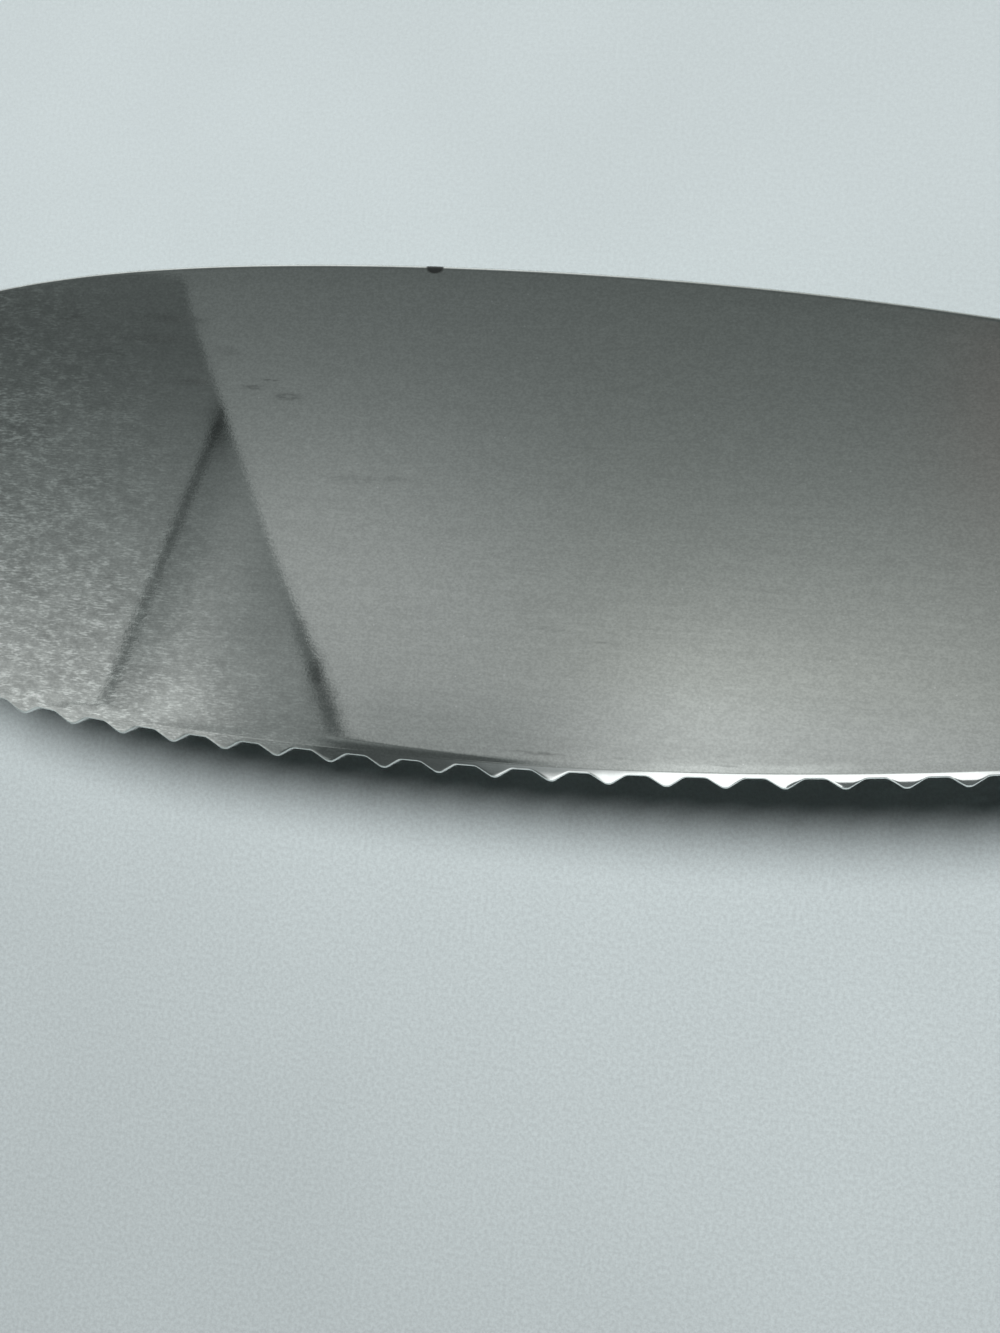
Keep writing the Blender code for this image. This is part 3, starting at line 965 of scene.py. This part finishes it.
def steel_material(blade):
    material, graph, shader, place = new_material("satin_steel")
    ground = graph.attribute("ground")
    grind = graph.attribute("grind", "Vector")
    lines = grain_lines(graph, place, BRUSHING)
    speckle = grain_lines(graph, place, SPECKLE)
    flecks = grain_lines(graph, place, FLECKS)
    bevel_lines = grain_lines(graph, grind, BEVEL_GRIND)
    stain = tarnish(graph, place)

    x, y, _ = graph.parts(place)
    cloud = smudges(graph, place, *STEEL_SMUDGES)
    worn_flat = graph.step(graph.math("MULTIPLY_ADD", y, WORN_SLANT, x), WORN_FLAT)
    worn_flat = graph.times(worn_flat, graph.blend(cloud, WORN_LEAST, 1.0))

    height = graph.weigh(0.0, (speckle, lines, graph.times(flecks, worn_flat)), FLAT_RELIEF)
    on_bevel = graph.math("MULTIPLY_ADD", bevel_lines, GROUND_RELIEF, height)
    bump(graph, shader, graph.blend(ground, height, on_bevel), STEEL_RELIEF)

    dull, clear = (opaque(Vector(blade.steel) * tone) for tone in SPECKLE_TONES)
    color = graph.mix(graph.step(speckle, Step(*NOISE_SPAN)), dull, clear)
    bare_metal = opaque(blade.bare)
    bare_end = fade(*(blade.bevel_width - inset for inset in BARE_INSET))
    bare = graph.step(graph.parts(grind)[1], bare_end)
    bare = graph.times(bare, graph.step(ground, BARE_GROUND), graph.step(x, BARE_FROM))
    color = graph.mix(bare, color, bare_metal)
    color = graph.shaded(color, flat_tone(graph, place, lines, flecks, worn_flat))
    wear = edge_wear(graph, place, STEEL_WEAR_PATCH)
    color = graph.mix(graph.times(wear, STEEL_WEAR), color, bare_metal)
    color = graph.mix(glints(graph, place), color, bare_metal)
    graph.feed(shader.inputs["Base Color"], graph.mix(stain, color, opaque(blade.stain)))

    shader.inputs["Metallic"].default_value = 1.0
    rough = graph.weigh(STEEL_ROUGH, (lines, cloud, stain, ground), STEEL_ROUGHER)
    graph.feed(shader.inputs["Roughness"], rough)
    anisotropy, turn = STEEL_GRAIN
    shader.inputs["Anisotropic"].default_value = anisotropy
    shader.inputs["Anisotropic Rotation"].default_value = turn
    tangent = graph.node("ShaderNodeTangent", direction_type="UV_MAP", uv_map="grain")
    graph.feed(shader.inputs["Tangent"], tangent.outputs["Tangent"])
    return material


def grain_map(mesh):
    """A map whose first axis runs along the blade, for the direction of its grain."""
    layer = mesh.uv_layers.new(name="grain")
    for corner in mesh.loops:
        p = mesh.vertices[corner.vertex_index].co
        along = (p.x + GRAIN_MAP_LEAN * p.z) * GRAIN_MAP_SCALE
        layer.data[corner.index].uv = (along, (p.y + p.z) * GRAIN_MAP_SCALE)


WOOD_FIBRE = (16.0, 0.35, 4.0)  # lines as in the steel
WOOD_PORES = (3.2, 0.16, 1.0)
WOOD_SMUDGES = (14.0, 0.6)
WOOD_WEAR_PATCH = 12.0
WOOD_WEAR = 0.22
TREE_AXIS = (0.0, 0.021, -0.034)  # a point on the heart of the tree
TREE_TAPER = (0.06, 1.0, 1.0)  # how little the rings change along it
RING_SWAY = 0.011
RING_SWAY_SCALES = (22, 60, 60)
RING_RATE = 2300.0  # radians in a metre, of the pale bands and of the broad dark ones
BROAD_RATE = 690.0
PALE_BANDS = Step(0.25, 1.0)
PALE_FIBRES = Step(0.35, 0.65)
DARK_STREAKS = Step(0.62, 1.0)
DARK_MIX = (0.55, 0.9)  # of broad bands and fibres
OPEN_PORES = Step(0.60, 0.68)
PORE_DARKNESS = 0.75
WOOD_ROUGH = 0.34
WOOD_ROUGHER = (0.07, 0.22, -0.06)  # in the smudges and pores and on worn edges
WOOD_RELIEF = 0.02 * MM
FIBRE_AND_PORE = (0.5, -1.0)  # heights


def ring_wave(graph, rings, rate):
    """A wave across the rings, between nothing and one."""
    wave = graph.math("SINE", graph.times(rings, rate))
    return graph.math("MULTIPLY_ADD", wave, 0.5, 0.5)


def wood_material(handle):
    material, graph, shader, place = new_material("rosewood")
    sway = graph.noise(graph.vector("MULTIPLY", place, RING_SWAY_SCALES), detail=3.0, roughness=0.55)
    away = graph.vector("SUBTRACT", place, TREE_AXIS)
    radius = graph.length(graph.vector("MULTIPLY", away, TREE_TAPER))
    rings = graph.math("MULTIPLY_ADD", sway, RING_SWAY, radius)
    fibre = grain_lines(graph, place, WOOD_FIBRE)
    pores = graph.step(grain_lines(graph, place, WOOD_PORES), OPEN_PORES)
    broad = ring_wave(graph, rings, BROAD_RATE)
    bands = ring_wave(graph, rings, RING_RATE)
    streak = graph.step(graph.weigh(0.0, (broad, fibre), DARK_MIX), DARK_STREAKS)
    pale = graph.times(graph.step(bands, PALE_BANDS), graph.step(fibre, PALE_FIBRES))
    dark_wood, light_wood = opaque(handle.streak_color), opaque(handle.light_color)
    color = graph.mix(pale, opaque(handle.heart_color), light_wood)
    color = graph.mix(streak, color, dark_wood)
    color = graph.mix(graph.times(pores, PORE_DARKNESS), color, dark_wood)
    wear = edge_wear(graph, place, WOOD_WEAR_PATCH)
    color = graph.mix(graph.times(wear, WOOD_WEAR), color, light_wood)
    graph.feed(shader.inputs["Base Color"], color)
    cloud = smudges(graph, place, *WOOD_SMUDGES)
    graph.feed(shader.inputs["Roughness"], graph.weigh(WOOD_ROUGH, (cloud, pores, wear), WOOD_ROUGHER))
    bump(graph, shader, graph.weigh(0.0, (fibre, pores), FIBRE_AND_PORE), WOOD_RELIEF)
    return material


BRASS_LINES = (2.5, 0.09, 2.0)  # lines as in the steel
BRASS_SMUDGES = (3.0, 0.6)
BRASS_SCRATCH = 5 * MM
BRASS_DULLED = 0.35
BRASS_ROUGH = 0.17
BRASS_ROUGHER = (0.16, 0.1)  # in the lines and smudges
BRASS_CUT = -0.8
BRASS_RELIEF = 0.0025 * MM


def brass_material(rivets):
    material, graph, shader, place = new_material("satin_brass")
    lines = grain_lines(graph, place, BRASS_LINES)
    scratch = shared_group("Scratches", scratch_group)
    cuts = graph.group(scratch, place=place, scratch_length=BRASS_SCRATCH, spread=0.16, turn=0.9)["Mask"]
    cloud = smudges(graph, place, *BRASS_SMUDGES)
    color = graph.mix(graph.times(cloud, BRASS_DULLED), opaque(rivets.brass), opaque(rivets.tarnish))
    graph.feed(shader.inputs["Base Color"], color)
    shader.inputs["Metallic"].default_value = 1.0
    graph.feed(shader.inputs["Roughness"], graph.weigh(BRASS_ROUGH, (lines, cloud), BRASS_ROUGHER))
    bump(graph, shader, graph.math("MULTIPLY_ADD", cuts, BRASS_CUT, lines), BRASS_RELIEF)
    return material


PAPER_FIBRE = 4000.0  # noise in a metre
PAPER_CLOUD = 60.0
PAPER_COARSE = Step(-0.02, 0.03, 1.0, 0.45)  # how far its fibres stand out, along Y
PAPER_SPAN = Step(-0.2, 0.2)
PAPER_TONES = (0.9, 1.1)
PAPER_RELIEF = 0.002 * MM
PAPER_FADE = Step(0.16, 0.6)  # where the paper begins and ends to run into the backdrop
# Painted shade of the paper for light that falls off: slow changes of its tone aslant (darker in a broad
# band towards -X and -Y) and along Y (darker towards -Y, lighter towards +Y), and random changes of tone in
# clouds
PAINTED_SHADE_ASLANT = (Step(-0.15, -0.07, 0.86, 1.0), Step(-0.42, -0.18, 1.14, 1.0))
PAINTED_SHADE_ALONG_Y = (Step(-0.03, 0.03, 0.985, 1.035), Step(-0.048, -0.024, 0.955, 1.0))
SHADES_IN_CLOUDS = (Step(0.2, 0.8, 0.98, 1.02),)


def paper_material(stage):
    """Pale paper with painted shade in its tone, which runs on into the backdrop far from the object."""
    material, graph, shader, place = new_material("pale_paper")
    fibre = graph.noise(place, detail=3.0, roughness=0.8, scale=PAPER_FIBRE)
    cloud = graph.noise(place, detail=3.0, roughness=0.5, scale=PAPER_CLOUD)
    x, y, _ = graph.parts(place)
    fibre = graph.times(graph.minus(fibre, 0.5), graph.step(y, PAPER_COARSE))
    low, high = (opaque(Vector(stage.floor) * tone) for tone in PAPER_TONES)
    color = graph.mix(graph.step(fibre, PAPER_SPAN), low, high)
    # Painted shade: the paper's tone falls off aslant and along Y, besides its random tone in clouds
    painted_shade_and_cloud_tone = []
    readings = ((graph.plus(x, y), PAINTED_SHADE_ASLANT), (y, PAINTED_SHADE_ALONG_Y), (cloud, SHADES_IN_CLOUDS))
    for value, steps in readings:
        painted_shade_and_cloud_tone += [graph.step(value, step) for step in steps]
    graph.feed(shader.inputs["Base Color"], graph.shaded(color, graph.times(*painted_shade_and_cloud_tone)))
    shader.inputs["Roughness"].default_value = 0.95
    shader.inputs["Specular IOR Level"].default_value = 0.1
    bump(graph, shader, fibre, PAPER_RELIEF)
    glow = graph.node("ShaderNodeEmission", {"Color": opaque(stage.backdrop), "Strength": 1.0})
    path = graph.node("ShaderNodeLightPath").outputs
    seen = graph.math("MAXIMUM", path["Is Camera Ray"], path["Is Glossy Ray"])
    far = graph.times(graph.step(graph.length(place), PAPER_FADE), seen)
    joined = graph.node("ShaderNodeMixShader", {0: far, 1: shader.outputs[0], 2: glow.outputs[0]})
    output = material.node_tree.nodes["Material Output"]
    graph.feed(output.inputs["Surface"], joined.outputs[0])
    return material


# What the blade mirrors overhead, on a plane one unit up with X across it and Y along it

PLANE_REACH = 2.0  # how far that plane is followed
HORIZON = 0.02  # lowest height that is followed to it
# Where two panels and a fold meet, how the edges between them run, and how soft those edges are
JUNCTION = (-0.4068, 0.2617)
PANEL_EDGE = -0.49
PANEL_SEAM = Step(-0.002, 0.003)
FOLD_EDGE = 0.2876
FOLD_SEAM = Step(-0.002, 0.002)
# How the main edge leaves its straight line along its length, and how it is frayed
EDGE_BENDS = (
    Step(0.05, 0.19, -0.012, -0.0025),
    Step(0.065, 0.105, 0.002, 0.0),
    Step(0.33, 0.37, 0.0, -0.0068),
    Step(0.3715, 0.3795, 0.0, 0.03),
)
EDGE_FRAY = Step(0.05, 0.15, 0.036, 0.003)
FRAY_SCALE = 330.0
# Shade on the left of the main edge: its width, its soft end and its depth along the edge
EDGE_SHADE_WIDTH = Step(0.05, 0.2, -0.011, -0.005)
EDGE_SHADE_END = Step(-0.003, 0.002)
EDGE_SHADE_DEPTHS = (Step(0.065, 0.16, 0.96, 0.06), Step(0.06, 0.09, 0.62, 1.0))
# Brightness of each panel as an exponent: its constant and its slopes across and along
LEFT_PANEL = (-0.085, -0.086, -6.458)
FOLD_PANEL = (-1.743, -3.166, -4.265)
RIGHT_PANEL = (-1.215, -0.355, -1.637)
SLOPES_FROM = 0.07  # the stretch along which those slopes hold
LEFT_SLOPES_TO = 0.305
# Changes of the fold's exponent away from its edge, one of them low down only
FOLD_TONES = (Step(0.006, 0.045, -0.26, 0.1), Step(0.05, 0.08, 0.0, -0.12))
FOLD_LIFT = Step(0.06, 0.13, 0.18, -0.16)
FOLD_LIFT_END = fade(0.06, 0.1)
FOLD_CREASE = Step(0.001, 0.0055, 0.58, 0.0)
# Patches on the right panel: where they open and close across, and what they add along
RIGHT_PATCHES = (
    ((-0.11, -0.05), (0.02, 0.06), Step(-0.12, 0.06, 0.25, 0.0)),
    ((-0.3, -0.27), (-0.2, -0.13), Step(0.055, 0.1, -0.15, 0.0)),
)
# Soft spots: strength, centre across and along, reach across and along
RIGHT_GLOWS = (
    (0.89, 0.044, 0.078, 0.248, 0.175),
    (0.59, -0.342, 0.160, 0.179, 0.130),
    (0.28, -0.072, 0.076, 0.068, 0.066),
)
KNOT = (0.5, JUNCTION[0], JUNCTION[1] - 0.008, 0.009, 0.018)
WARM_SPOT = (1.0, 0.12, 0.3, 0.06, 0.1)
# Dark gap at the near end of the panels: its brightness, its stretch across and its slanting end
SHADE = 0.1
SHADE_STRETCH = ((-0.328, -0.3), (-0.21, -0.1))
SHADE_SLANT = (0.3, 0.9)
SHADE_END = fade(-0.13, 0.035)


def panel_glow(graph, across, along, tone):
    """Exponent of a panel's brightness."""
    base, *slopes = tone
    return graph.weigh(base, (across, along), slopes)


def soft_spot(graph, across, along, spot):
    """A spot that is strongest at its centre and dies away round it."""
    strength, at_across, at_along, reach_across, reach_along = spot
    u = graph.over(graph.minus(across, at_across), reach_across)
    v = graph.over(graph.minus(along, at_along), reach_along)
    square = graph.math("MULTIPLY_ADD", u, u, graph.times(v, v))
    return graph.times(graph.math("EXPONENT", graph.times(square, -1.0)), strength)


def dimmed(graph, light, shade):
    """A light less the share that a shade takes."""
    return graph.times(light, graph.minus(1.0, shade))


def main_edge(graph, u, v, along):
    """How far right of the frayed edge between the panels a point lies."""
    right = graph.minus(u, graph.times(v, PANEL_EDGE))
    for bend in EDGE_BENDS:
        right = graph.plus(right, graph.step(along, bend))
    inputs = {"W": along, "Scale": FRAY_SCALE}
    fray = graph.node("ShaderNodeTexNoise", inputs, noise_dimensions="1D").outputs[0]
    return graph.plus(right, graph.times(graph.minus(fray, 0.5), graph.step(along, EDGE_FRAY)))


def left_glow(graph, across, along, level, past_fold):
    """Light of the left panel and of the fold, with the crease between them."""
    left = panel_glow(graph, across, graph.math("MINIMUM", level, LEFT_SLOPES_TO), LEFT_PANEL)
    fold = panel_glow(graph, across, level, FOLD_PANEL)
    for tone in FOLD_TONES:
        fold = graph.plus(fold, graph.step(past_fold, tone))
    fold = graph.plus(fold, graph.times(graph.step(past_fold, FOLD_LIFT), graph.step(along, FOLD_LIFT_END)))
    left, fold = graph.math("EXPONENT", left), graph.math("EXPONENT", fold)
    light = graph.blend(graph.step(past_fold, FOLD_SEAM), left, fold)
    return dimmed(graph, light, graph.step(graph.math("ABSOLUTE", past_fold), FOLD_CREASE))


def right_glow(graph, across, along, level):
    """Light of the right panel."""
    bright = panel_glow(graph, across, level, RIGHT_PANEL)
    for opening, closing, lift in RIGHT_PATCHES:
        patch = graph.window(across, opening, closing)
        bright = graph.math("MULTIPLY_ADD", patch, graph.step(along, lift), bright)
    for spot in RIGHT_GLOWS:
        bright = graph.plus(bright, soft_spot(graph, across, level, spot))
    return graph.math("EXPONENT", bright)


def overhead_glow(graph, across, along):
    """Light from overhead: left of the main edge a panel and a fold, right of it a brighter panel."""
    u = graph.minus(across, JUNCTION[0])
    v = graph.minus(along, JUNCTION[1])
    level = graph.math("MAXIMUM", along, SLOPES_FROM)
    right = main_edge(graph, u, v, along)
    past_fold = graph.minus(u, graph.times(v, FOLD_EDGE))
    light = left_glow(graph, across, along, level, past_fold)
    near = graph.step(graph.minus(right, graph.step(along, EDGE_SHADE_WIDTH)), EDGE_SHADE_END)
    deep = graph.times(*(graph.step(along, depth) for depth in EDGE_SHADE_DEPTHS))
    light = dimmed(graph, light, graph.times(near, deep))
    light = dimmed(graph, light, soft_spot(graph, across, along, KNOT))
    light = graph.blend(graph.step(right, PANEL_SEAM), light, right_glow(graph, across, along, level))
    offset, slope = SHADE_SLANT
    slant = graph.math("MULTIPLY_ADD", graph.plus(across, offset), slope, along)
    gap = graph.times(graph.window(across, *SHADE_STRETCH), graph.step(slant, SHADE_END))
    return graph.blend(gap, light, SHADE)


# What the bevel mirrors from low in front of the scallops, on an upright plane one unit ahead

AHEAD_LEAST = 0.02
BEND = (0.1, 0.035)  # how the wall's end bends with height
WALL = Step(-0.5, -0.35, 0.7, 0.31)
WALL_END = Step(-0.335, -0.295)
GAP = Step(-0.2, 0.0, 0.1, 0.44)  # the dark gap past it, which opens out
GAP_HIGHER = Step(0.7, 1.6, 0.0, 0.25)
GAP_OPEN = Step(-0.1, 0.1)
# The bright card: its light, its slanting near edge, its far edge, its top and its foot
CARD = 1.2
CARD_LEAN = (-0.15, 0.165)
CARD_NEAR = Step(-0.05, 0.04)
CARD_FAR = fade(0.24, 0.32)
CARD_TOP = fade(0.68, 0.74)
CARD_FOOT = Step(0.075, 0.1, -0.4, 0.27)
CARD_FOOT_END = Step(-0.02, 0.02)
UNDER_CARD = Step(0.08, 0.12)
UNDER_CARD_LIGHT = 0.12
FRONT_END = Step(0.4, 0.7)  # where the plain room begins beside it


def front_glow(graph, x, y, z, room):
    """Light from low in front of the scallops: a pale wall, a dark gap that opens out and a bright card."""
    ahead = graph.math("MAXIMUM", graph.times(y, -1.0), AHEAD_LEAST)
    aside = graph.over(x, ahead)
    rise = graph.over(z, ahead)
    bend, more_bend = BEND
    past = graph.plus(aside, graph.times(rise, graph.math("MULTIPLY_ADD", rise, more_bend, bend)))
    higher = graph.times(graph.step(rise, GAP_HIGHER), graph.step(past, GAP_OPEN))
    gap = graph.plus(graph.step(past, GAP), higher)
    light = graph.blend(graph.step(past, WALL_END), graph.step(past, WALL), gap)
    near_edge, lean = CARD_LEAN
    card_edge = graph.math("MULTIPLY_ADD", rise, lean, near_edge)
    above = graph.step(graph.minus(rise, graph.step(aside, CARD_FOOT)), CARD_FOOT_END)
    under = graph.times(graph.step(aside, UNDER_CARD), graph.minus(1.0, above))
    light = graph.blend(under, light, UNDER_CARD_LIGHT)
    card = graph.times(
        graph.step(graph.minus(aside, card_edge), CARD_NEAR),
        graph.step(aside, CARD_FAR), graph.step(rise, CARD_TOP), above,
    )
    light = graph.blend(card, light, CARD)
    return graph.blend(graph.step(aside, FRONT_END), light, room)


# The rest of the room, and where the panels overhead and the front give way to it

ROOM_LIGHTS = 5.0
ROOM_TURN = 4.45
ROOM_SWING = 0.42
ROOM_LEVEL = Step(0.0, 0.85, 0.68, 0.36)
ROOM_BEHIND = Step(0.0, 0.6, 1.0, 1.35)
OVERHEAD_ACROSS = fade(0.9, 1.6)  # how far the panels overhead spread
OVERHEAD_ALONG = ((-0.45, -0.3), (0.5, 0.9))
FRONT_SPREAD = fade(-0.25, -0.15)
# Tones of that light: dim, pale, ivory and warm, and where each of them is
DIM_TONE = (0.89, 1.0, 1.005)
PALE_TONE = (0.993, 1.0, 1.01)
IVORY_TONE = (0.993, 1.0, 0.985)
WARM_TONE = (1.05, 1.0, 0.98)
PALE_FROM = Step(-0.12, 0.6)
IVORY_ACROSS = Step(-0.25, -0.1)
IVORY_ALONG = Step(0.07, 0.12)


def room_glow(graph, x, y, z):
    """Light from the rest of the room: five soft lights round it, dimmer overhead."""
    bearing = graph.math("ARCTAN2", y, x)
    wave = graph.math("SINE", graph.math("MULTIPLY_ADD", bearing, ROOM_LIGHTS, ROOM_TURN))
    level = graph.times(graph.step(z, ROOM_LEVEL), graph.step(y, ROOM_BEHIND))
    return graph.times(level, graph.math("MULTIPLY_ADD", wave, ROOM_SWING, 1.0))


def light_tone(graph, across, along, light):
    """Colour of the light that the blade mirrors."""
    ivory = graph.times(graph.step(across, IVORY_ACROSS), graph.step(along, IVORY_ALONG))
    pale = graph.mix(ivory, opaque(PALE_TONE), opaque(IVORY_TONE))
    tone = graph.mix(graph.step(light, PALE_FROM), opaque(DIM_TONE), pale)
    return graph.mix(soft_spot(graph, across, along, WARM_SPOT), tone, opaque(WARM_TONE))


def studio_world(stage):
    """Plain light from all round, with a room that only mirrors show."""
    world = bpy.data.worlds.new("studio")
    world.use_nodes = True
    graph = Graph(world.node_tree)
    direction = graph.node("ShaderNodeTexCoord").outputs["Generated"]
    x, y, z = graph.parts(direction)
    height = graph.math("MAXIMUM", z, HORIZON)
    across = graph.clamp(graph.over(x, height), PLANE_REACH)
    along = graph.clamp(graph.over(y, height), PLANE_REACH)
    room = room_glow(graph, x, y, z)
    light = graph.blend(graph.step(y, FRONT_SPREAD), room, front_glow(graph, x, y, z, room))
    spread = graph.step(graph.math("ABSOLUTE", across), OVERHEAD_ACROSS)
    spread = graph.times(spread, graph.window(along, *OVERHEAD_ALONG))
    light = graph.blend(spread, light, overhead_glow(graph, across, along))
    tone = light_tone(graph, across, along, light)
    path = graph.node("ShaderNodeLightPath").outputs
    mirrored_ray = graph.math("MAXIMUM", path["Is Glossy Ray"], path["Is Transmission Ray"])
    light = graph.blend(mirrored_ray, stage.ambient, light)
    seen = path["Is Camera Ray"]
    background = world.node_tree.nodes["Background"]
    graph.feed(background.inputs["Color"], graph.mix(seen, tone, opaque(stage.backdrop)))
    graph.feed(background.inputs["Strength"], graph.blend(seen, light, 1.0))
    bpy.context.scene.world = world


# Stage

SENSOR = 36.0
LENS = 43.2  # to this sensor as 1600 is to the 1333 rows of the image
CLIP = (1 * MM, 20.0)
FLOOR_HALF = 6.0
FLOOR_CELLS = 12
FLOOR_GAP = 0.05 * MM  # hairline between the floor and the handle


def add_key(stage):
    """A large round soft box, which the blade doesn't mirror."""
    lamp = bpy.data.lights.new("key", "AREA")
    lamp.shape = "DISK"
    lamp.size = stage.key_size
    lamp.energy = stage.key_power
    holder = bpy.data.objects.new("key", lamp)
    bpy.context.scene.collection.objects.link(holder)
    turn, lift = stage.key_bearing, stage.key_elevation
    away = Vector((math.cos(lift) * math.cos(turn), math.cos(lift) * math.sin(turn), math.sin(lift)))
    holder.location = Vector(stage.target) + away * stage.key_distance
    holder.rotation_euler = away.to_track_quat("Z", "Y").to_euler()
    holder.visible_camera = False
    holder.visible_glossy = False


def add_floor(stage):
    shape = bmesh.new()
    bmesh.ops.create_grid(shape, x_segments=FLOOR_CELLS, y_segments=FLOOR_CELLS, size=FLOOR_HALF)
    mesh = bpy.data.meshes.new("floor")
    shape.to_mesh(mesh)
    shape.free()
    mesh.materials.append(paper_material(stage))
    floor = bpy.data.objects.new("floor", mesh)
    bpy.context.scene.collection.objects.link(floor)
    floor.location.z = LOWER_LOW.z - FLOOR_GAP


def add_camera(stage):
    data = bpy.data.cameras.new("camera")
    data.sensor_width = SENSOR
    data.lens = LENS
    data.clip_start, data.clip_end = CLIP
    camera = bpy.data.objects.new("camera", data)
    bpy.context.scene.collection.objects.link(camera)
    turn, pitch, roll = stage.turn, stage.pitch, stage.roll
    back = Vector((math.sin(turn) * math.cos(pitch), -math.sin(pitch), math.cos(turn) * math.cos(pitch)))
    right = Vector((math.sin(roll), math.cos(roll), 0.0)).cross(back).normalized()
    up = back.cross(right)
    place = Vector(stage.target) + back * stage.distance
    camera.matrix_world = Matrix.Translation(place) @ Matrix((right, up, back)).transposed().to_4x4()
    bpy.context.scene.camera = camera


# Operators


class SPREADER_OT_blade(Operator):
    """Make the steel blade with its scalloped edge"""

    bl_idname = "spreader.blade"
    bl_label = "Blade"

    def execute(self, context):
        scene = context.scene
        mesh = blade_mesh(scene.spreader_blade, scene.spreader_handle, scene.spreader_rivets)
        grain_map(mesh)
        material = steel_material(scene.spreader_blade)
        add_piece("blade_steel", mesh, material, "blade")
        return {"FINISHED"}


class SPREADER_OT_scales(Operator):
    """Make the two rosewood scales of the handle"""

    bl_idname = "spreader.scales"
    bl_label = "Scales"

    def execute(self, context):
        scene = context.scene
        blade, handle, rivets = scene.spreader_blade, scene.spreader_handle, scene.spreader_rivets
        material = wood_material(handle)
        post_seat = POST_FACE - rivets.head_thickness - rivets.fit
        socket_seat = SOCKET_FACE + rivets.head_thickness + rivets.fit
        sides = {
            "upper_scale": (BLADE_HIGH.z + handle.seam, UPPER_HIGH.z, post_seat),
            "lower_scale": (BLADE_LOW.z - handle.seam, LOWER_LOW.z, socket_seat),
        }
        for node, (inner, outer, seat) in sides.items():
            name = f"{node}_wood"
            mesh = scale_mesh(name, blade, handle, rivets, inner, outer, seat)
            add_piece(name, mesh, material, node)
        return {"FINISHED"}


class SPREADER_OT_rivets(Operator):
    """Make the three brass rivets, each a post in a socket"""

    bl_idname = "spreader.rivets"
    bl_label = "Rivets"

    def execute(self, context):
        rivets = context.scene.spreader_rivets
        material = brass_material(rivets)
        for place in RIVETS:
            axis = RIVET_AXES[place]
            for half, make in (("post", post_mesh), ("socket", socket_mesh)):
                node = f"{place}_rivet_{half}"
                mesh = make(f"{node}_brass", rivets)
                add_piece(f"{node}_brass", mesh, material, node, (axis.x, axis.y, 0))
        return {"FINISHED"}


class SPREADER_OT_stage(Operator):
    """Lay the paper, light it and set the camera"""

    bl_idname = "spreader.stage"
    bl_label = "Stage"

    def execute(self, context):
        stage = context.scene.spreader_stage
        context.scene.view_settings.view_transform = "Standard"
        studio_world(stage)
        add_floor(stage)
        add_key(stage)
        add_camera(stage)
        return {"FINISHED"}


class SPREADER_PT_panel(Panel):
    """Settings of the spreader, with the operators that build it"""

    bl_idname = "SPREADER_PT_panel"
    bl_label = "Spreader"
    bl_space_type = "VIEW_3D"
    bl_region_type = "UI"
    bl_category = "Spreader"

    def draw(self, context):
        for operator, settings in BUILT_FROM:
            box = self.layout.box()
            box.operator(operator.bl_idname)
            group = getattr(context.scene, settings)
            for name in group.bl_rna.properties.keys():
                if name not in ("rna_type", "name"):
                    box.prop(group, name)


SETTINGS = {
    "spreader_blade": BladeSettings,
    "spreader_handle": HandleSettings,
    "spreader_rivets": RivetSettings,
    "spreader_stage": StageSettings,
}
BUILT_FROM = (
    (SPREADER_OT_blade, "spreader_blade"),
    (SPREADER_OT_scales, "spreader_handle"),
    (SPREADER_OT_rivets, "spreader_rivets"),
    (SPREADER_OT_stage, "spreader_stage"),
)
CLASSES = (*SETTINGS.values(), *(operator for operator, _ in BUILT_FROM), SPREADER_PT_panel)


def register():
    for kind in CLASSES:
        bpy.utils.register_class(kind)
    for name, kind in SETTINGS.items():
        setattr(bpy.types.Scene, name, PointerProperty(type=kind))


def unregister():
    for name in SETTINGS:
        delattr(bpy.types.Scene, name)
    for kind in reversed(CLASSES):
        bpy.utils.unregister_class(kind)


def main():
    register()
    bpy.ops.spreader.blade()
    bpy.ops.spreader.scales()
    bpy.ops.spreader.rivets()
    bpy.ops.spreader.stage()


if __name__ == "__main__":
    main()
